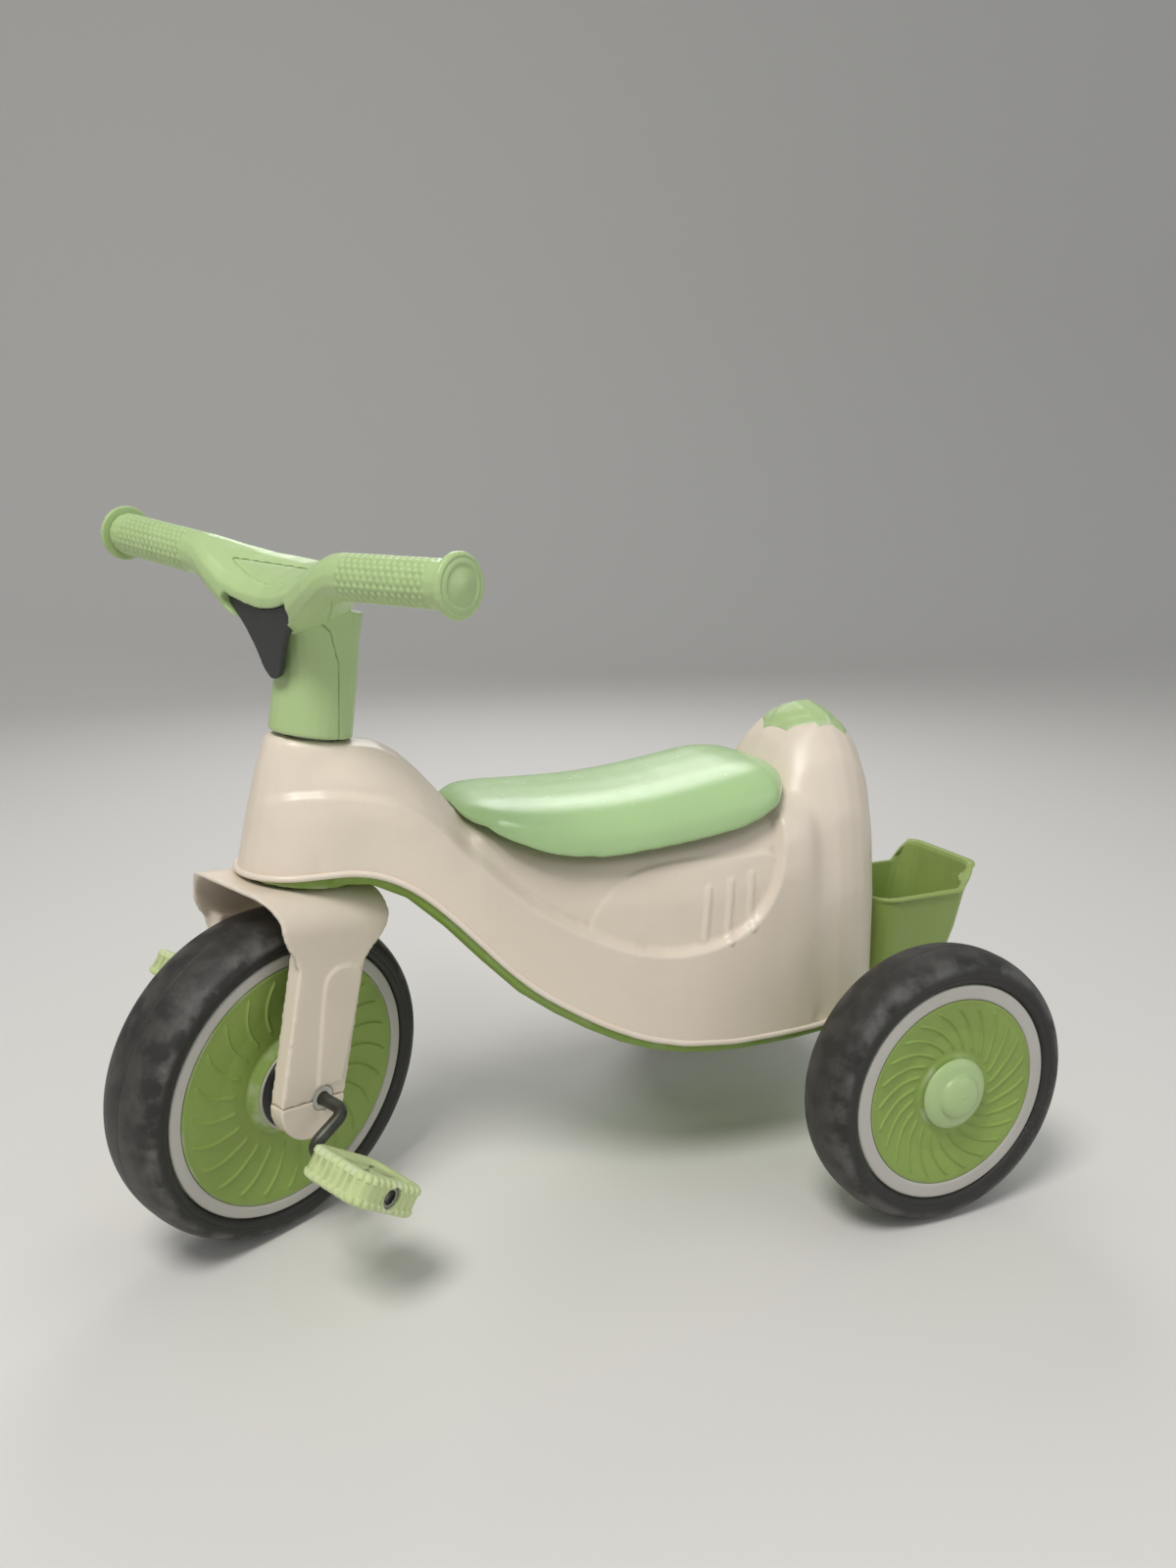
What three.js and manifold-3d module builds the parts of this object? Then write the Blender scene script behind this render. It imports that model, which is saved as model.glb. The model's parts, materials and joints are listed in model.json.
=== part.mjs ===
// Children's tricycle: moulded body over a steel rear axle, raked steering column, crank-driven
// front wheel. Millimetres, +X forward, +Y the rider's left, +Z up, tyres standing on z = 0.
import * as THREE from 'three';
import { mergeVertices } from 'three/addons/utils/BufferGeometryUtils.js';
import Module from 'manifold-3d';

const wasm = await Module();
wasm.setup();

// ---- driving dimensions -------------------------------------------------------------------
const wheelbase = 440.8;          // rear axle to the steering axis at front axle height
const frontTyreRadius = 117.3;
const rearTyreRadius = 100.9;
const rearWheelCentre = 169.7;     // wheel mid-plane to the tricycle's centre plane
const rake = THREE.MathUtils.degToRad(9.4);
const steerAngle = THREE.MathUtils.degToRad(28.9);   // bars turned left in the modelled pose
const crankAngle = THREE.MathUtils.degToRad(37);     // left crank arm below the forward line
const pedalTilt = THREE.MathUtils.degToRad(27);
const touchGap = 0.3;             // left between pieces that rest on each other
const runGap = 0.4;               // radial clearance where something turns

// wheels
const frontTyreHalfWidth = 28.8;
const rearTyreHalfWidth = 23.9;
const tyreWall = 6;               // moulded hollow, open towards the wheel
const ringSetback = 2.6;          // trim ring face inside the tyre's side
const ringThickness = 3;
const discWall = 3.4;
const frontRing = { inner: 88.2, outer: 97.5 };
const rearRing = { inner: 68.9, outer: 80.1 };
const hubDiscRadius = 30;
const hubDiscDepth = 6.6;
const hubTrimWidth = 2.4;
const hubCapRadius = 26;
const hubCapHeight = 12.6;
const wheelSteps = 28;

// axle, crank and pedals
const axleRadius = 5;
const bushWall = 3.6;
const axleHousingRadius = 13;
const crankRadius = 4.5;
const crankThrow = 32.4;
const crankArmAt = 79;            // arm plane to wheel mid-plane
const pedalCentre = 130;
const pedal = { length: 65, width: 55.5, thickness: 20.5, corner: 14 };
const spindleEnd = pedalCentre + pedal.width / 2 - 5;

// fork
const legOuter = 51.5;
const legFootOuter = 57;         // the legs spread towards the axle
const legThickness = 13;
const legSeamHeight = 0;          // leg and end cap meet on the axle line
const legTopHeight = 97;
const legEndRadius = 26.5;
const fenderTop = 141;            // along the steering axis, above the front axle
const fenderWall = 3.6;
const fenderCorner = 25;
const crownBossRadius = 21;
const crownBossDepth = 11;
const columnRadius = 11;
const columnWall = 2;
const columnTop = 318;

// head
const headFloor = 143.4;          // underside of the head along the steering axis
const headTopHeight = 238.5;
const rimHeight = 266.5;          // lower edge of the shell round the head, above the floor
const headTopRadius = 29.5;
const headRimFront = 39.5;
const headRimSide = 43.5;
const shellWall = 3;
const trayDepth = 9;
const trayInset = 1.2;

// body
const bodyRear = -38;
const seatFront = 309;
const deckFront = 300;             // the deck's side walls end here, inside the neck
const seatRear = 60;
const seatHalfWidth = 80;
const seatWall = 4;
const backrestTop = 352;
const backrestCentre = 11;
const backrestHalfWidth = 80;
const capLength = 66;
const capHalfWidth = 34;
const capThickness = 3;

// basket
const basket = {
  length: 100, topHalf: 47, floorHalf: 38, rim: 193, backRise: 21, floor: 122, wall: 2.6, corner: 18,
};

// handlebar, in the steering frame
const barForward = 47.7;
const gripRadius = 14.6;
const gripInnerHeight = 348;
const gripInner = 70;
const gripOuter = 163.4;
const gripRise = THREE.MathUtils.degToRad(3.3);
const gripFlangeRadius = 18.9;
const gripFlangeThickness = 5.2;
const gripBore = 10.6;
const stemBottom = 240.9;
const stemRadius = 27.8;
const stemTopRadius = 25;

const colour = {
  cream: '#e6d9cb', green: '#a9c98a', tray: '#7f9c45', disc: '#8fb356', basket: '#8fb45c',
  pedal: '#bcd98a', ring: '#b9b4b6', tyre: '#3f4241', black: '#1b1d1c', trim: '#454549',
  steel: '#4a4b46', seat: '#aedaa6', bush: '#d9d9d4', zinc: '#9fa3a6',
};
function finish(name, roughness = 0.4, metalness = 0) {
  return new THREE.MeshStandardMaterial({ color: colour[name], roughness, metalness });
}

// ---- geometry helpers ---------------------------------------------------------------------
// rings are equal-length lists of Vector3, joined in order and closed at both ends
function loft(rings) {
  const count = rings[0].length;
  const positions = [];
  const push = (a, b, c) => positions.push(...a.toArray(), ...b.toArray(), ...c.toArray());
  for (let i = 0; i + 1 < rings.length; i++) {
    for (let j = 0; j < count; j++) {
      const k = (j + 1) % count;
      push(rings[i][j], rings[i][k], rings[i + 1][k]);
      push(rings[i][j], rings[i + 1][k], rings[i + 1][j]);
    }
  }
  for (const [ring, flip] of [[rings[0], true], [rings.at(-1), false]]) {
    const centre = ring.reduce((sum, p) => sum.add(p), new THREE.Vector3()).divideScalar(count);
    for (let j = 0; j < count; j++) {
      const k = (j + 1) % count;
      if (flip) push(centre, ring[k], ring[j]);
      else push(centre, ring[j], ring[k]);
    }
  }
  const geometry = new THREE.BufferGeometry();
  geometry.setAttribute('position', new THREE.Float32BufferAttribute(positions, 3));
  return geometry;
}

function toSolid(geometry) {
  const plain = geometry.index ? geometry.toNonIndexed() : geometry.clone();
  for (const name of Object.keys(plain.attributes)) {
    if (name !== 'position') plain.deleteAttribute(name);
  }
  const merged = mergeVertices(plain, 1e-4);
  const mesh = new wasm.Mesh({
    numProp: 3,
    vertProperties: new Float32Array(merged.attributes.position.array),
    triVerts: new Uint32Array(merged.index.array),
  });
  mesh.merge();
  const solid = new wasm.Manifold(mesh);
  if (solid.volume() >= 0) return solid;
  const turned = merged.index.array.slice();
  for (let i = 0; i < turned.length; i += 3) [turned[i], turned[i + 1]] = [turned[i + 1], turned[i]];
  return new wasm.Manifold(new wasm.Mesh({
    numProp: 3,
    vertProperties: new Float32Array(merged.attributes.position.array),
    triVerts: new Uint32Array(turned),
  }));
}

function toGeometry(solid) {
  const mesh = solid.getMesh();
  const geometry = new THREE.BufferGeometry();
  geometry.setAttribute('position', new THREE.BufferAttribute(mesh.vertProperties.slice(), 3));
  geometry.setIndex(new THREE.BufferAttribute(mesh.triVerts.slice(), 1));
  return geometry;
}

const join = (...solids) => solids.reduce((sum, solid) => sum.add(solid));
const cut = (solid, ...tools) => tools.reduce((rest, tool) => rest.subtract(tool), solid);

// profile is a closed list of [radius, along]; the result turns round the y axis
function turned(profile, steps = wheelSteps) {
  const points = [...profile, profile[0]].map(([r, y]) => new THREE.Vector2(r, y));
  return toSolid(new THREE.LatheGeometry(points, steps));
}
const alongZ = (solid) => toSolid(toGeometry(solid).rotateX(Math.PI / 2));
const tube = (inner, outer, from, to, steps = 18) =>
  turned([[inner, from], [outer, from], [outer, to], [inner, to]], steps);
function rod(radius, from, to, steps = 20) {
  const geometry = new THREE.CylinderGeometry(radius, radius, to - from, steps);
  return toSolid(geometry.translate(0, (from + to) / 2, 0));
}
const placed = (solid, x, y, z) => solid.translate([x, y, z]);
const mirrored = (solid) => solid.mirror([0, 1, 0]);

// outline is a list of [x, z]; the prism runs along y
function prismY(outline, from, to) {
  const shape = new THREE.Shape(outline.map(([x, z]) => new THREE.Vector2(x, z)));
  const geometry = new THREE.ExtrudeGeometry(shape, { depth: to - from, bevelEnabled: false, curveSegments: 8 });
  return toSolid(geometry.rotateX(Math.PI / 2).translate(0, to, 0));
}

// smooth curve through [x, value] pairs, read at any x
function curveThrough(pairs) {
  const sorted = [...pairs].sort((a, b) => a[0] - b[0]);
  return (x) => {
    const last = sorted.length - 1;
    if (x <= sorted[0][0]) return sorted[0][1];
    if (x >= sorted[last][0]) return sorted[last][1];
    const i = sorted.findIndex((p) => p[0] >= x) - 1;
    const slope = (k) => {
      const before = sorted[Math.max(k - 1, 0)];
      const after = sorted[Math.min(k + 1, last)];
      return (after[1] - before[1]) / (after[0] - before[0]);
    };
    const [x0, v0] = sorted[i];
    const [x1, v1] = sorted[i + 1];
    const t = (x - x0) / (x1 - x0);
    const span = x1 - x0;
    return v0 * (1 + 2 * t) * (1 - t) ** 2 + slope(i) * span * t * (1 - t) ** 2
      + v1 * t * t * (3 - 2 * t) + slope(i + 1) * span * t * t * (t - 1);
  };
}

function steps(from, to, count) {
  return Array.from({ length: count + 1 }, (_, i) => from + ((to - from) * i) / count);
}

// ---- scene graph --------------------------------------------------------------------------
const trike = new THREE.Group();
const axisLean = Math.sin(steerAngle) * Math.sin(rake);
const frontAxleHeight = frontTyreRadius * Math.sqrt(1 - axisLean ** 2);

const body = new THREE.Group();
const head = new THREE.Group();          // steering axis along z, origin on the front axle, not steered
head.position.set(wheelbase, 0, frontAxleHeight);
head.rotation.y = -rake;
const steering = new THREE.Group();      // x heading, y the axle, z the steering axis
steering.rotation.z = steerAngle;
head.add(steering);
trike.add(body, head);

function addPiece(parent, name, solid, material) {
  const mesh = new THREE.Mesh(toGeometry(solid), material);
  mesh.name = name;
  parent.add(mesh);
  return mesh;
}

// body and tray are made upright; this gives the steering axis position at a height
const axisX = (z) => wheelbase - Math.tan(rake) * (z - frontAxleHeight);
// a solid made in the head frame, carried into the upright body frame
function fromHead(solid) {
  head.updateMatrix();
  return toSolid(toGeometry(solid).applyMatrix4(head.matrix));
}

// ---- body shell ---------------------------------------------------------------------------
const rimLine = curveThrough([
  [bodyRear, 118], [44, 115], [115, 115], [156, 120], [187, 128.5], [216, 142], [243, 158],
  [265, 173], [284, 190], [304, 212], [323, 232], [341, 248.5], [362, 261], [384, rimHeight], [460, rimHeight],
]);
const rimHalf = curveThrough([
  [bodyRear, 28], [-34, 42], [-25, 55], [-10, 68], [10, 77], [40, 83], [75, 85], [156, 83],
  [216, 77], [265, 68], [304, 57], [341, 48], [372, 44.5], [420, 43.5],
]);
const seatBed = curveThrough([
  [seatRear, 292], [79, 287], [100, 278], [140, 271], [180, 267], [217, 265.5], [250, 269], [275, 277],
  [296, 287], [seatFront, 296],
]);
const neckTop = curveThrough([
  [290, 274], [300, 288], [308, 299], [319, 312], [333, 328], [346, 340], [358, 347], [374, 350], [404, 351],
]);
const backrestHalf = (x) => Math.min(rimHalf(x), backrestHalfWidth);
const backrestFullness = 2.7;
const backrestLine = [
  [bodyRear + 0.5, 270], [-35, 296], [-28, 318], [-15, 338], [0, 349], [backrestCentre, backrestTop], [24, 350],
  [40, 340], [52, 325], [62, 305], [70, 286],
];

// closer together at the back, where the form rounds in quickly
function backrestStations(inset) {
  const inside = [3.5, 7, 12, 20, 32, 46, 60, 74, 86, 97].map((step) => bodyRear + step);
  return [bodyRear + inset, ...inside, backrestLine.at(-1)[0] - inset];
}

// a section across the body: up one side from the rim, over the top and down the other
function archSection(x, low, high, half, fullness, count = 10) {
  return Array.from({ length: count + 1 }, (_, i) => {
    const angle = (Math.PI * i) / count;
    const side = Math.cos(angle);
    const y = half * Math.sign(side) * Math.abs(side) ** (2 / fullness);
    const z = low + (high - low) * Math.sin(angle) ** (2 / fullness);
    return new THREE.Vector3(x, y, z);
  });
}

// inset shrinks the form for the hollow inside; drop carries it below the rim
function bodyForm(inset, drop) {
  const low = (x) => rimLine(x) - drop;
  const deck = steps(seatRear - 16 + inset, deckFront - inset, 11).map((x) => archSection(
    x, low(x), seatBed(Math.max(x, seatRear)) - touchGap - inset, rimHalf(x) - inset, 7));
  const neck = steps(270, 404, 9).map((x) => archSection(
    x, low(x), (x < 296 ? seatBed(x) - touchGap : neckTop(x)) - inset, rimHalf(x) - inset, 3));
  const top = curveThrough(backrestLine);
  const backrest = backrestStations(inset).map((x) => archSection(
    x, low(x), top(x) - inset, backrestHalf(x) - inset, backrestFullness));
  return join(...[deck, neck, backrest].map((rings) => toSolid(loft(rings))), headForm(inset, drop));
}

// rings round the steering axis, wider in front; square is 1 where a ring stands square to the axis
function headRing(z, front, side, square = 0, count = 20) {
  const centre = axisX(z);
  return Array.from({ length: count }, (_, i) => {
    const angle = (2 * Math.PI * i) / count;
    const along = (Math.cos(angle) > 0 ? front : side) * Math.cos(angle);
    return new THREE.Vector3(centre + along, side * Math.sin(angle), z + square * along * Math.tan(rake));
  });
}

function headForm(inset, drop) {
  const topZ = frontAxleHeight + headTopHeight * Math.cos(rake);
  const levels = [
    [rimHeight - drop, headRimFront, headRimSide, 0], [rimHeight + 12, headRimFront - 1, headRimSide - 1, 0],
    [300, 37, 40, 0.3], [330, 33.5, 34, 0.8], [topZ - 6 - inset, headTopRadius + 1, headTopRadius + 1, 1],
    [topZ - 2 - inset, headTopRadius, headTopRadius, 1], [topZ - inset, headTopRadius - 2.5, headTopRadius - 2.5, 1],
  ];
  return toSolid(loft(levels.map(([z, front, side, square]) => headRing(z, front - inset, side - inset, square))));
}

const bushOuter = columnRadius + runGap + bushWall;
const columnBore = (from, to) => fromHead(alongZ(rod(bushOuter + touchGap, from, to)));

function bodyShell() {
  const shell = cut(bodyForm(0, 0), bodyForm(shellWall, 6));
  return cut(shell, columnBore(headTopHeight - 20, headTopHeight + 10), capSolid(touchGap));
}

// leaf-shaped cap lying over the top of the backrest
function capSolid(grow) {
  const half = capLength / 2 + grow;
  const leaf = new THREE.Shape();
  leaf.moveTo(-half, 0);
  for (const side of [1, -1]) {
    const reach = side * (capHalfWidth + grow);
    leaf.bezierCurveTo(-side * half * 0.7, reach * 0.35, -side * half * 0.25, reach * 0.6, 0, reach);
    leaf.bezierCurveTo(side * half * 0.25, reach * 0.6, side * half * 0.7, reach * 0.35, side * half, 0);
  }
  const blank = new THREE.ExtrudeGeometry(leaf, { depth: 60, bevelEnabled: false, curveSegments: 6 });
  const prism = toSolid(blank.translate(backrestCentre - 2, 0, backrestTop - 40));
  return prism.intersect(cut(backrestSkin(0.6), backrestSkin(-(capThickness - 0.6) - grow)));
}

function backrestSkin(offset) {
  const top = curveThrough(backrestLine);
  const rings = backrestStations(0).map((x) => archSection(
    x, rimLine(x), top(x) + offset, backrestHalf(x) + offset, backrestFullness));
  return toSolid(loft(rings));
}

// ---- seat ---------------------------------------------------------------------------------
const seatTop = curveThrough([
  [seatRear, 316], [84, 318], [118, 313], [159, 307], [199, 304], [240, 304], [275, 305], [298, 304], [seatFront, 300],
]);
const seatHalf = curveThrough([
  [seatRear, 52], [64, 64], [72, 73], [90, 79], [130, seatHalfWidth], [220, seatHalfWidth],
  [262, 76], [285, 67], [300, 53], [seatFront, 34],
]);

// moulded shell, open underneath
function seat() {
  const form = (from, to, count, wall, drop) => toSolid(loft(steps(from, to, count).map((x) => archSection(
    x, seatBed(x) - drop, seatTop(x) - wall, seatHalf(x) - wall, 3.4, 12))));
  const hollow = form(seatRear + 22, seatFront - 14, 9, seatWall, 8);
  return cut(form(seatRear, seatFront, 14, 0, 0), bodyForm(-touchGap, 0), hollow);
}

// ---- undertray ----------------------------------------------------------------------------
const cavityRise = 5;             // the hollow is cut well past the tray's open edge
function trayBottom(x) {
  const slope = (rimLine(x + 1) - rimLine(x - 1)) / 2;
  return rimLine(x) - trayDepth * Math.hypot(1, slope);
}
function traySection(x, inset) {
  const half = rimHalf(x) - trayInset - inset;
  const top = rimLine(x) + (inset ? cavityRise : 0);
  const bottom = trayBottom(x) + inset;
  const chamfer = 4;
  return [[half, top], [half, bottom + chamfer], [half - chamfer, bottom], [0, bottom],
    [chamfer - half, bottom], [-half, bottom + chamfer], [-half, top], [0, top]]
    .map(([y, z]) => new THREE.Vector3(x, y, z));
}
function trayHead(inset) {
  const top = rimHeight + (inset ? cavityRise : 0);
  const floorZ = frontAxleHeight + (headFloor + inset) * Math.cos(rake);
  const ring = (z, square) => headRing(z, headRimFront - trayInset - inset, headRimSide - trayInset - inset, square);
  return toSolid(loft([ring(floorZ, 1), ring(top, 0)]));
}
function undertray() {
  const form = (inset) => toSolid(loft(steps(bodyRear + inset, 398, 18).map((x) => traySection(x, inset))));
  const housing = placed(rod(axleHousingRadius, -housingEnd, housingEnd), 0, 0, rearTyreRadius);
  const outer = join(form(0), trayHead(0));
  const tray = cut(outer, form(shellWall), trayHead(shellWall), bodyForm(-touchGap, touchGap));
  const kept = join(tray, housing.intersect(belowShell()));
  const bore = placed(rod(axleRadius + touchGap, -200, 200), 0, 0, rearTyreRadius);
  return cut(kept, bore, columnBore(headFloor - 10, headFloor + 20), ...trayScrewSpots.map(screwHole));
}
const housingEnd = 84;
function belowShell() {
  return toSolid(new THREE.BoxGeometry(80, 400, 100).translate(0, 0, rimLine(0) - touchGap - 50));
}

// screws from below through the tray floor into bosses inside the shell
const screwRadius = 2;
const screwHeadRadius = 4;
const screwHeadHeight = 2.2;
const trayScrewSpots = [[-16, 50], [-16, -50], [108, 55], [108, -55]];
const screwFloor = ([x]) => trayBottom(x);
function screwHole(spot) {
  const [x, y] = spot;
  return placed(alongZ(rod(screwRadius + touchGap, -8, 8, 12)), x, y, screwFloor(spot));
}
function screw(length) {
  const cap = new THREE.SphereGeometry(screwHeadRadius, 10, 3, 0, Math.PI * 2, 0, Math.PI / 2);
  const domed = toSolid(closedDome(cap));
  return join(alongZ(domed.scale([1, screwHeadHeight / screwHeadRadius, 1])), alongZ(rod(screwRadius, -length, 0.2, 8)));
}
function closedDome(geometry) {
  const open = geometry.toNonIndexed();
  const radius = geometry.parameters.radius;
  const lid = new THREE.CircleGeometry(radius, geometry.parameters.widthSegments).toNonIndexed();
  lid.rotateX(Math.PI / 2);
  const points = [...open.attributes.position.array, ...lid.attributes.position.array];
  const closed = new THREE.BufferGeometry();
  closed.setAttribute('position', new THREE.Float32BufferAttribute(points, 3));
  return closed;
}

// ---- basket -------------------------------------------------------------------------------
function basketRing(z, half, front, rear, corner, count = 4) {
  const points = [];
  const corners = [[rear, 1], [front, 1], [front, -1], [rear, -1]];
  corners.forEach(([x, side], index) => {
    const cx = x + (x === rear ? corner : -corner);
    const cy = side * (half - corner);
    const start = Math.PI - (index * Math.PI) / 2;
    for (let i = 0; i <= count; i++) {
      const angle = start - (i * Math.PI) / (2 * count);
      points.push(new THREE.Vector3(cx + corner * Math.cos(angle), cy + corner * Math.sin(angle), z));
    }
  });
  return points;
}
function basketForm(inset, drop) {
  const front = bodyRear - touchGap - inset;
  const slope = (basket.topHalf - basket.floorHalf) / (basket.rim - basket.floor);
  const ring = (z) => {
    const fall = basket.rim - z;
    return basketRing(z, basket.topHalf - inset - slope * fall, front, bodyRear - basket.length + inset + basketRake * fall,
      basket.corner - inset / 2);
  };
  return toSolid(loft([ring(basket.floor + inset), ring((basket.floor + basket.rim) / 2), raised(ring(basket.rim), drop)]));
}
// the rim steps up round the back corners to a taller rear wall
function raised(ring, lift) {
  const back = bodyRear - basket.length;
  return ring.map((p) => {
    const share = THREE.MathUtils.smoothstep(back + basket.corner + 2 - p.x, 0, basket.corner);
    return new THREE.Vector3(p.x, p.y, p.z + lift + basket.backRise * share);
  });
}
const basketRake = 0.28;
const basketLip = { width: 2.5, height: 3 };
function basketPiece() {
  const edge = basketRing(basket.rim, basket.topHalf + basketLip.width, bodyRear - touchGap,
    bodyRear - basket.length - basketLip.width, basket.corner + basketLip.width);
  const lip = toSolid(loft([raised(edge, -basketLip.height), raised(edge, 0)]));
  return cut(join(basketForm(0, 0), lip), basketForm(basket.wall, 4));
}

// ---- rear axle ----------------------------------------------------------------------------
const spacerGap = 0.5;
const rearFace = rearTyreHalfWidth - ringSetback;
const rearBush = { from: rearWheelCentre - rearFace - 2, to: rearWheelCentre + rearFace - 2 };
const washer = { radius: 9.5, thickness: 1.6 };
const axleEnd = rearBush.to + 7;
const bushRadius = axleRadius + runGap + bushWall;
const axleNut = { radius: bushRadius - touchGap, height: 4 };

addPiece(body, 'body_shell', bodyShell(), finish('cream', 0.3));
addPiece(body, 'undertray', undertray(), finish('tray', 0.5));
addPiece(body, 'seat', seat(), finish('seat', 0.25));
addPiece(body, 'backrest_cap', capSolid(0), finish('green', 0.4));
addPiece(body, 'basket', basketPiece(), finish('basket', 0.5));
trayScrewSpots.forEach((spot, index) => {
  const piece = alongDown(screw(12));
  addPiece(body, `tray_screw_${index + 1}`, placed(piece, spot[0], spot[1], screwFloor(spot) - touchGap), finish('steel', 0.4, 0.9));
});
function alongDown(solid) {
  return solid.rotate([180, 0, 0]);
}

const axleGroup = new THREE.Group();
axleGroup.position.z = rearTyreRadius;
body.add(axleGroup);
addPiece(axleGroup, 'rear_axle', rod(axleRadius, -axleEnd, axleEnd), finish('steel', 0.35, 0.9));
for (const [side, sign] of [['left', 1], ['right', -1]]) {
  const facing = (solid) => (sign > 0 ? solid : mirrored(solid));
  const spacer = tube(axleRadius + touchGap, axleHousingRadius - 3, housingEnd + spacerGap, rearBush.from - washer.thickness - 2 * spacerGap);
  addPiece(axleGroup, `axle_spacer_${side}`, facing(spacer), finish('tray', 0.5));
  const disc = tube(axleRadius + touchGap, washer.radius, rearBush.from - washer.thickness - spacerGap, rearBush.from - spacerGap);
  addPiece(axleGroup, `axle_washer_${side}`, facing(disc), finish('zinc', 0.35, 0.9));
  const nut = cut(rod(axleNut.radius, rearBush.to + spacerGap, rearBush.to + spacerGap + axleNut.height, 6),
    rod(axleRadius + touchGap, rearBush.to, axleEnd + 1));
  addPiece(axleGroup, `axle_nut_${side}`, facing(nut), finish('zinc', 0.35, 0.9));
}

// steering bushings in the head, one at the top and one at the floor
function steeringBush(from, to, flangeAt) {
  const inner = columnRadius + runGap;
  const sleeve = tube(inner, bushOuter, from, to);
  return alongZ(join(sleeve, tube(inner, bushOuter + 3, ...flangeAt)));
}
const upperBush = steeringBush(headTopHeight - 12, headTopHeight + 1, [headTopHeight - 12, headTopHeight - 9]);
const lowerBush = steeringBush(fenderTop + touchGap, headFloor + 8, [fenderTop + touchGap, headFloor - touchGap]);
addPiece(head, 'steering_bush_upper', upperBush, finish('bush', 0.5));
addPiece(head, 'steering_bush_lower', lowerBush, finish('bush', 0.5));

// ---- wheels -------------------------------------------------------------------------------
// a wheel is built round the y axis, its outer face towards +y
function tyre(radius, bead, halfWidth) {
  const half = [[bead, halfWidth - 4.5], [bead + 3.5, halfWidth - 1], [(bead + radius) / 2, halfWidth],
    [radius - 3.4, halfWidth * 0.76], [radius - 0.6, halfWidth * 0.4]];
  const other = half.map(([r, y]) => [r, -y]).reverse();
  const floor = radius - tyreWall;
  const channel = [[bead, tyreWall - halfWidth + 4], [floor, -halfWidth * 0.5], [floor, halfWidth * 0.5],
    [bead, halfWidth - tyreWall - 4]];
  return turned([...half, ...other, ...channel], wheelSteps);
}
function ring(size, face) {
  return tube(size.inner + touchGap, size.outer - touchGap, face - ringThickness + touchGap, face, wheelSteps);
}
// half of a wheel: rim flange, seat for the ring, dished web and hub
function wheelHalf(size, hub, face) {
  const back = face - ringThickness;
  const dish = face - 3.4;
  const waist = size.inner * 0.66;
  const outer = [[hub.bore, hub.face], [hub.radius, hub.face], [hub.radius + 5, dish + 0.6],
    [waist, dish], [size.inner, face], [size.inner, back], [size.outer, back]];
  const inner = [[size.outer, touchGap], [size.outer - discWall, touchGap], [size.outer - discWall, back - discWall],
    [hub.bore + discWall, dish - discWall - 1], [hub.bore + discWall, touchGap], [hub.bore, touchGap]];
  return turned([...outer, ...inner]);
}

const rearHub = { bore: bushRadius + touchGap, face: rearFace - 0.6, radius: 24 };
function hubCap() {
  const at = rearHub.face + touchGap;
  const outer = [[hubCapRadius, at], [hubCapRadius, at + 1.6], [hubCapRadius - 4, at + 4.6], [16.5, at + 6],
    [15, at + 8.6], [10, at + hubCapHeight - 1], [0, at + hubCapHeight]];
  const inner = [[0, at + hubCapHeight - 2.2], [9, at + hubCapHeight - 3], [13, at + 6], [13, at]];
  return turned([...outer, ...inner], 20);
}
for (const [side, sign] of [['left', 1], ['right', -1]]) {
  const wheel = new THREE.Group();
  wheel.position.set(0, sign * rearWheelCentre, rearTyreRadius);
  const facing = (solid) => (sign > 0 ? solid : mirrored(solid));
  const name = (piece) => `rear_${piece}_${side}`;
  const half = wheelHalf(rearRing, rearHub, rearFace);
  const rubber = tyre(rearTyreRadius, rearRing.outer + touchGap, rearTyreHalfWidth);
  addPiece(wheel, name('tyre'), rubber, finish('tyre', 0.6));
  addPiece(wheel, name('wheel_outer'), facing(half), finish('disc', 0.45));
  addPiece(wheel, name('wheel_inner'), facing(mirrored(half)), finish('disc', 0.45));
  addPiece(wheel, name('trim_ring'), facing(ring(rearRing, rearFace)), finish('ring', 0.4));
  addPiece(wheel, name('hub_cap'), facing(hubCap()), finish('green', 0.35));
  const bush = tube(axleRadius + runGap, bushRadius, rearBush.from - rearWheelCentre, rearBush.to - rearWheelCentre);
  addPiece(wheel, name('wheel_bush'), facing(bush), finish('bush', 0.5));
  trike.add(wheel);
}

const frontWheel = new THREE.Group();
steering.add(frontWheel);
const frontFace = frontTyreHalfWidth - ringSetback;
const frontHub = { bore: crankRadius + touchGap, face: frontFace + 3.5, radius: 33 };
const frontRubber = tyre(frontTyreRadius, frontRing.outer + touchGap, frontTyreHalfWidth);
addPiece(frontWheel, 'front_tyre', frontRubber, finish('tyre', 0.6));
for (const [side, sign] of [['left', 1], ['right', -1]]) {
  const facing = (solid) => (sign > 0 ? solid : mirrored(solid));
  const face = frontHub.face + touchGap;
  const cone = turned([[crankRadius + touchGap, face], [hubDiscRadius, face], [hubDiscRadius - 0.5, face + 3],
    [hubDiscRadius - 5, face + hubDiscDepth], [crankRadius + touchGap, face + hubDiscDepth]], 24);
  const band = tube(hubDiscRadius + touchGap, hubDiscRadius + hubTrimWidth, face, face + 1.6, 24);
  const half = wheelHalf(frontRing, frontHub, frontFace);
  addPiece(frontWheel, `front_wheel_${side}`, facing(half), finish('disc', 0.45));
  addPiece(frontWheel, `front_trim_ring_${side}`, facing(ring(frontRing, frontFace)), finish('ring', 0.4));
  addPiece(frontWheel, `front_hub_${side}`, facing(cone), finish('black', 0.4));
  addPiece(frontWheel, `front_hub_band_${side}`, facing(band), finish('ring', 0.4));
}

// ---- crank and pedals ---------------------------------------------------------------------
const armX = crankThrow * Math.cos(crankAngle);
const armZ = -crankThrow * Math.sin(crankAngle);

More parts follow.
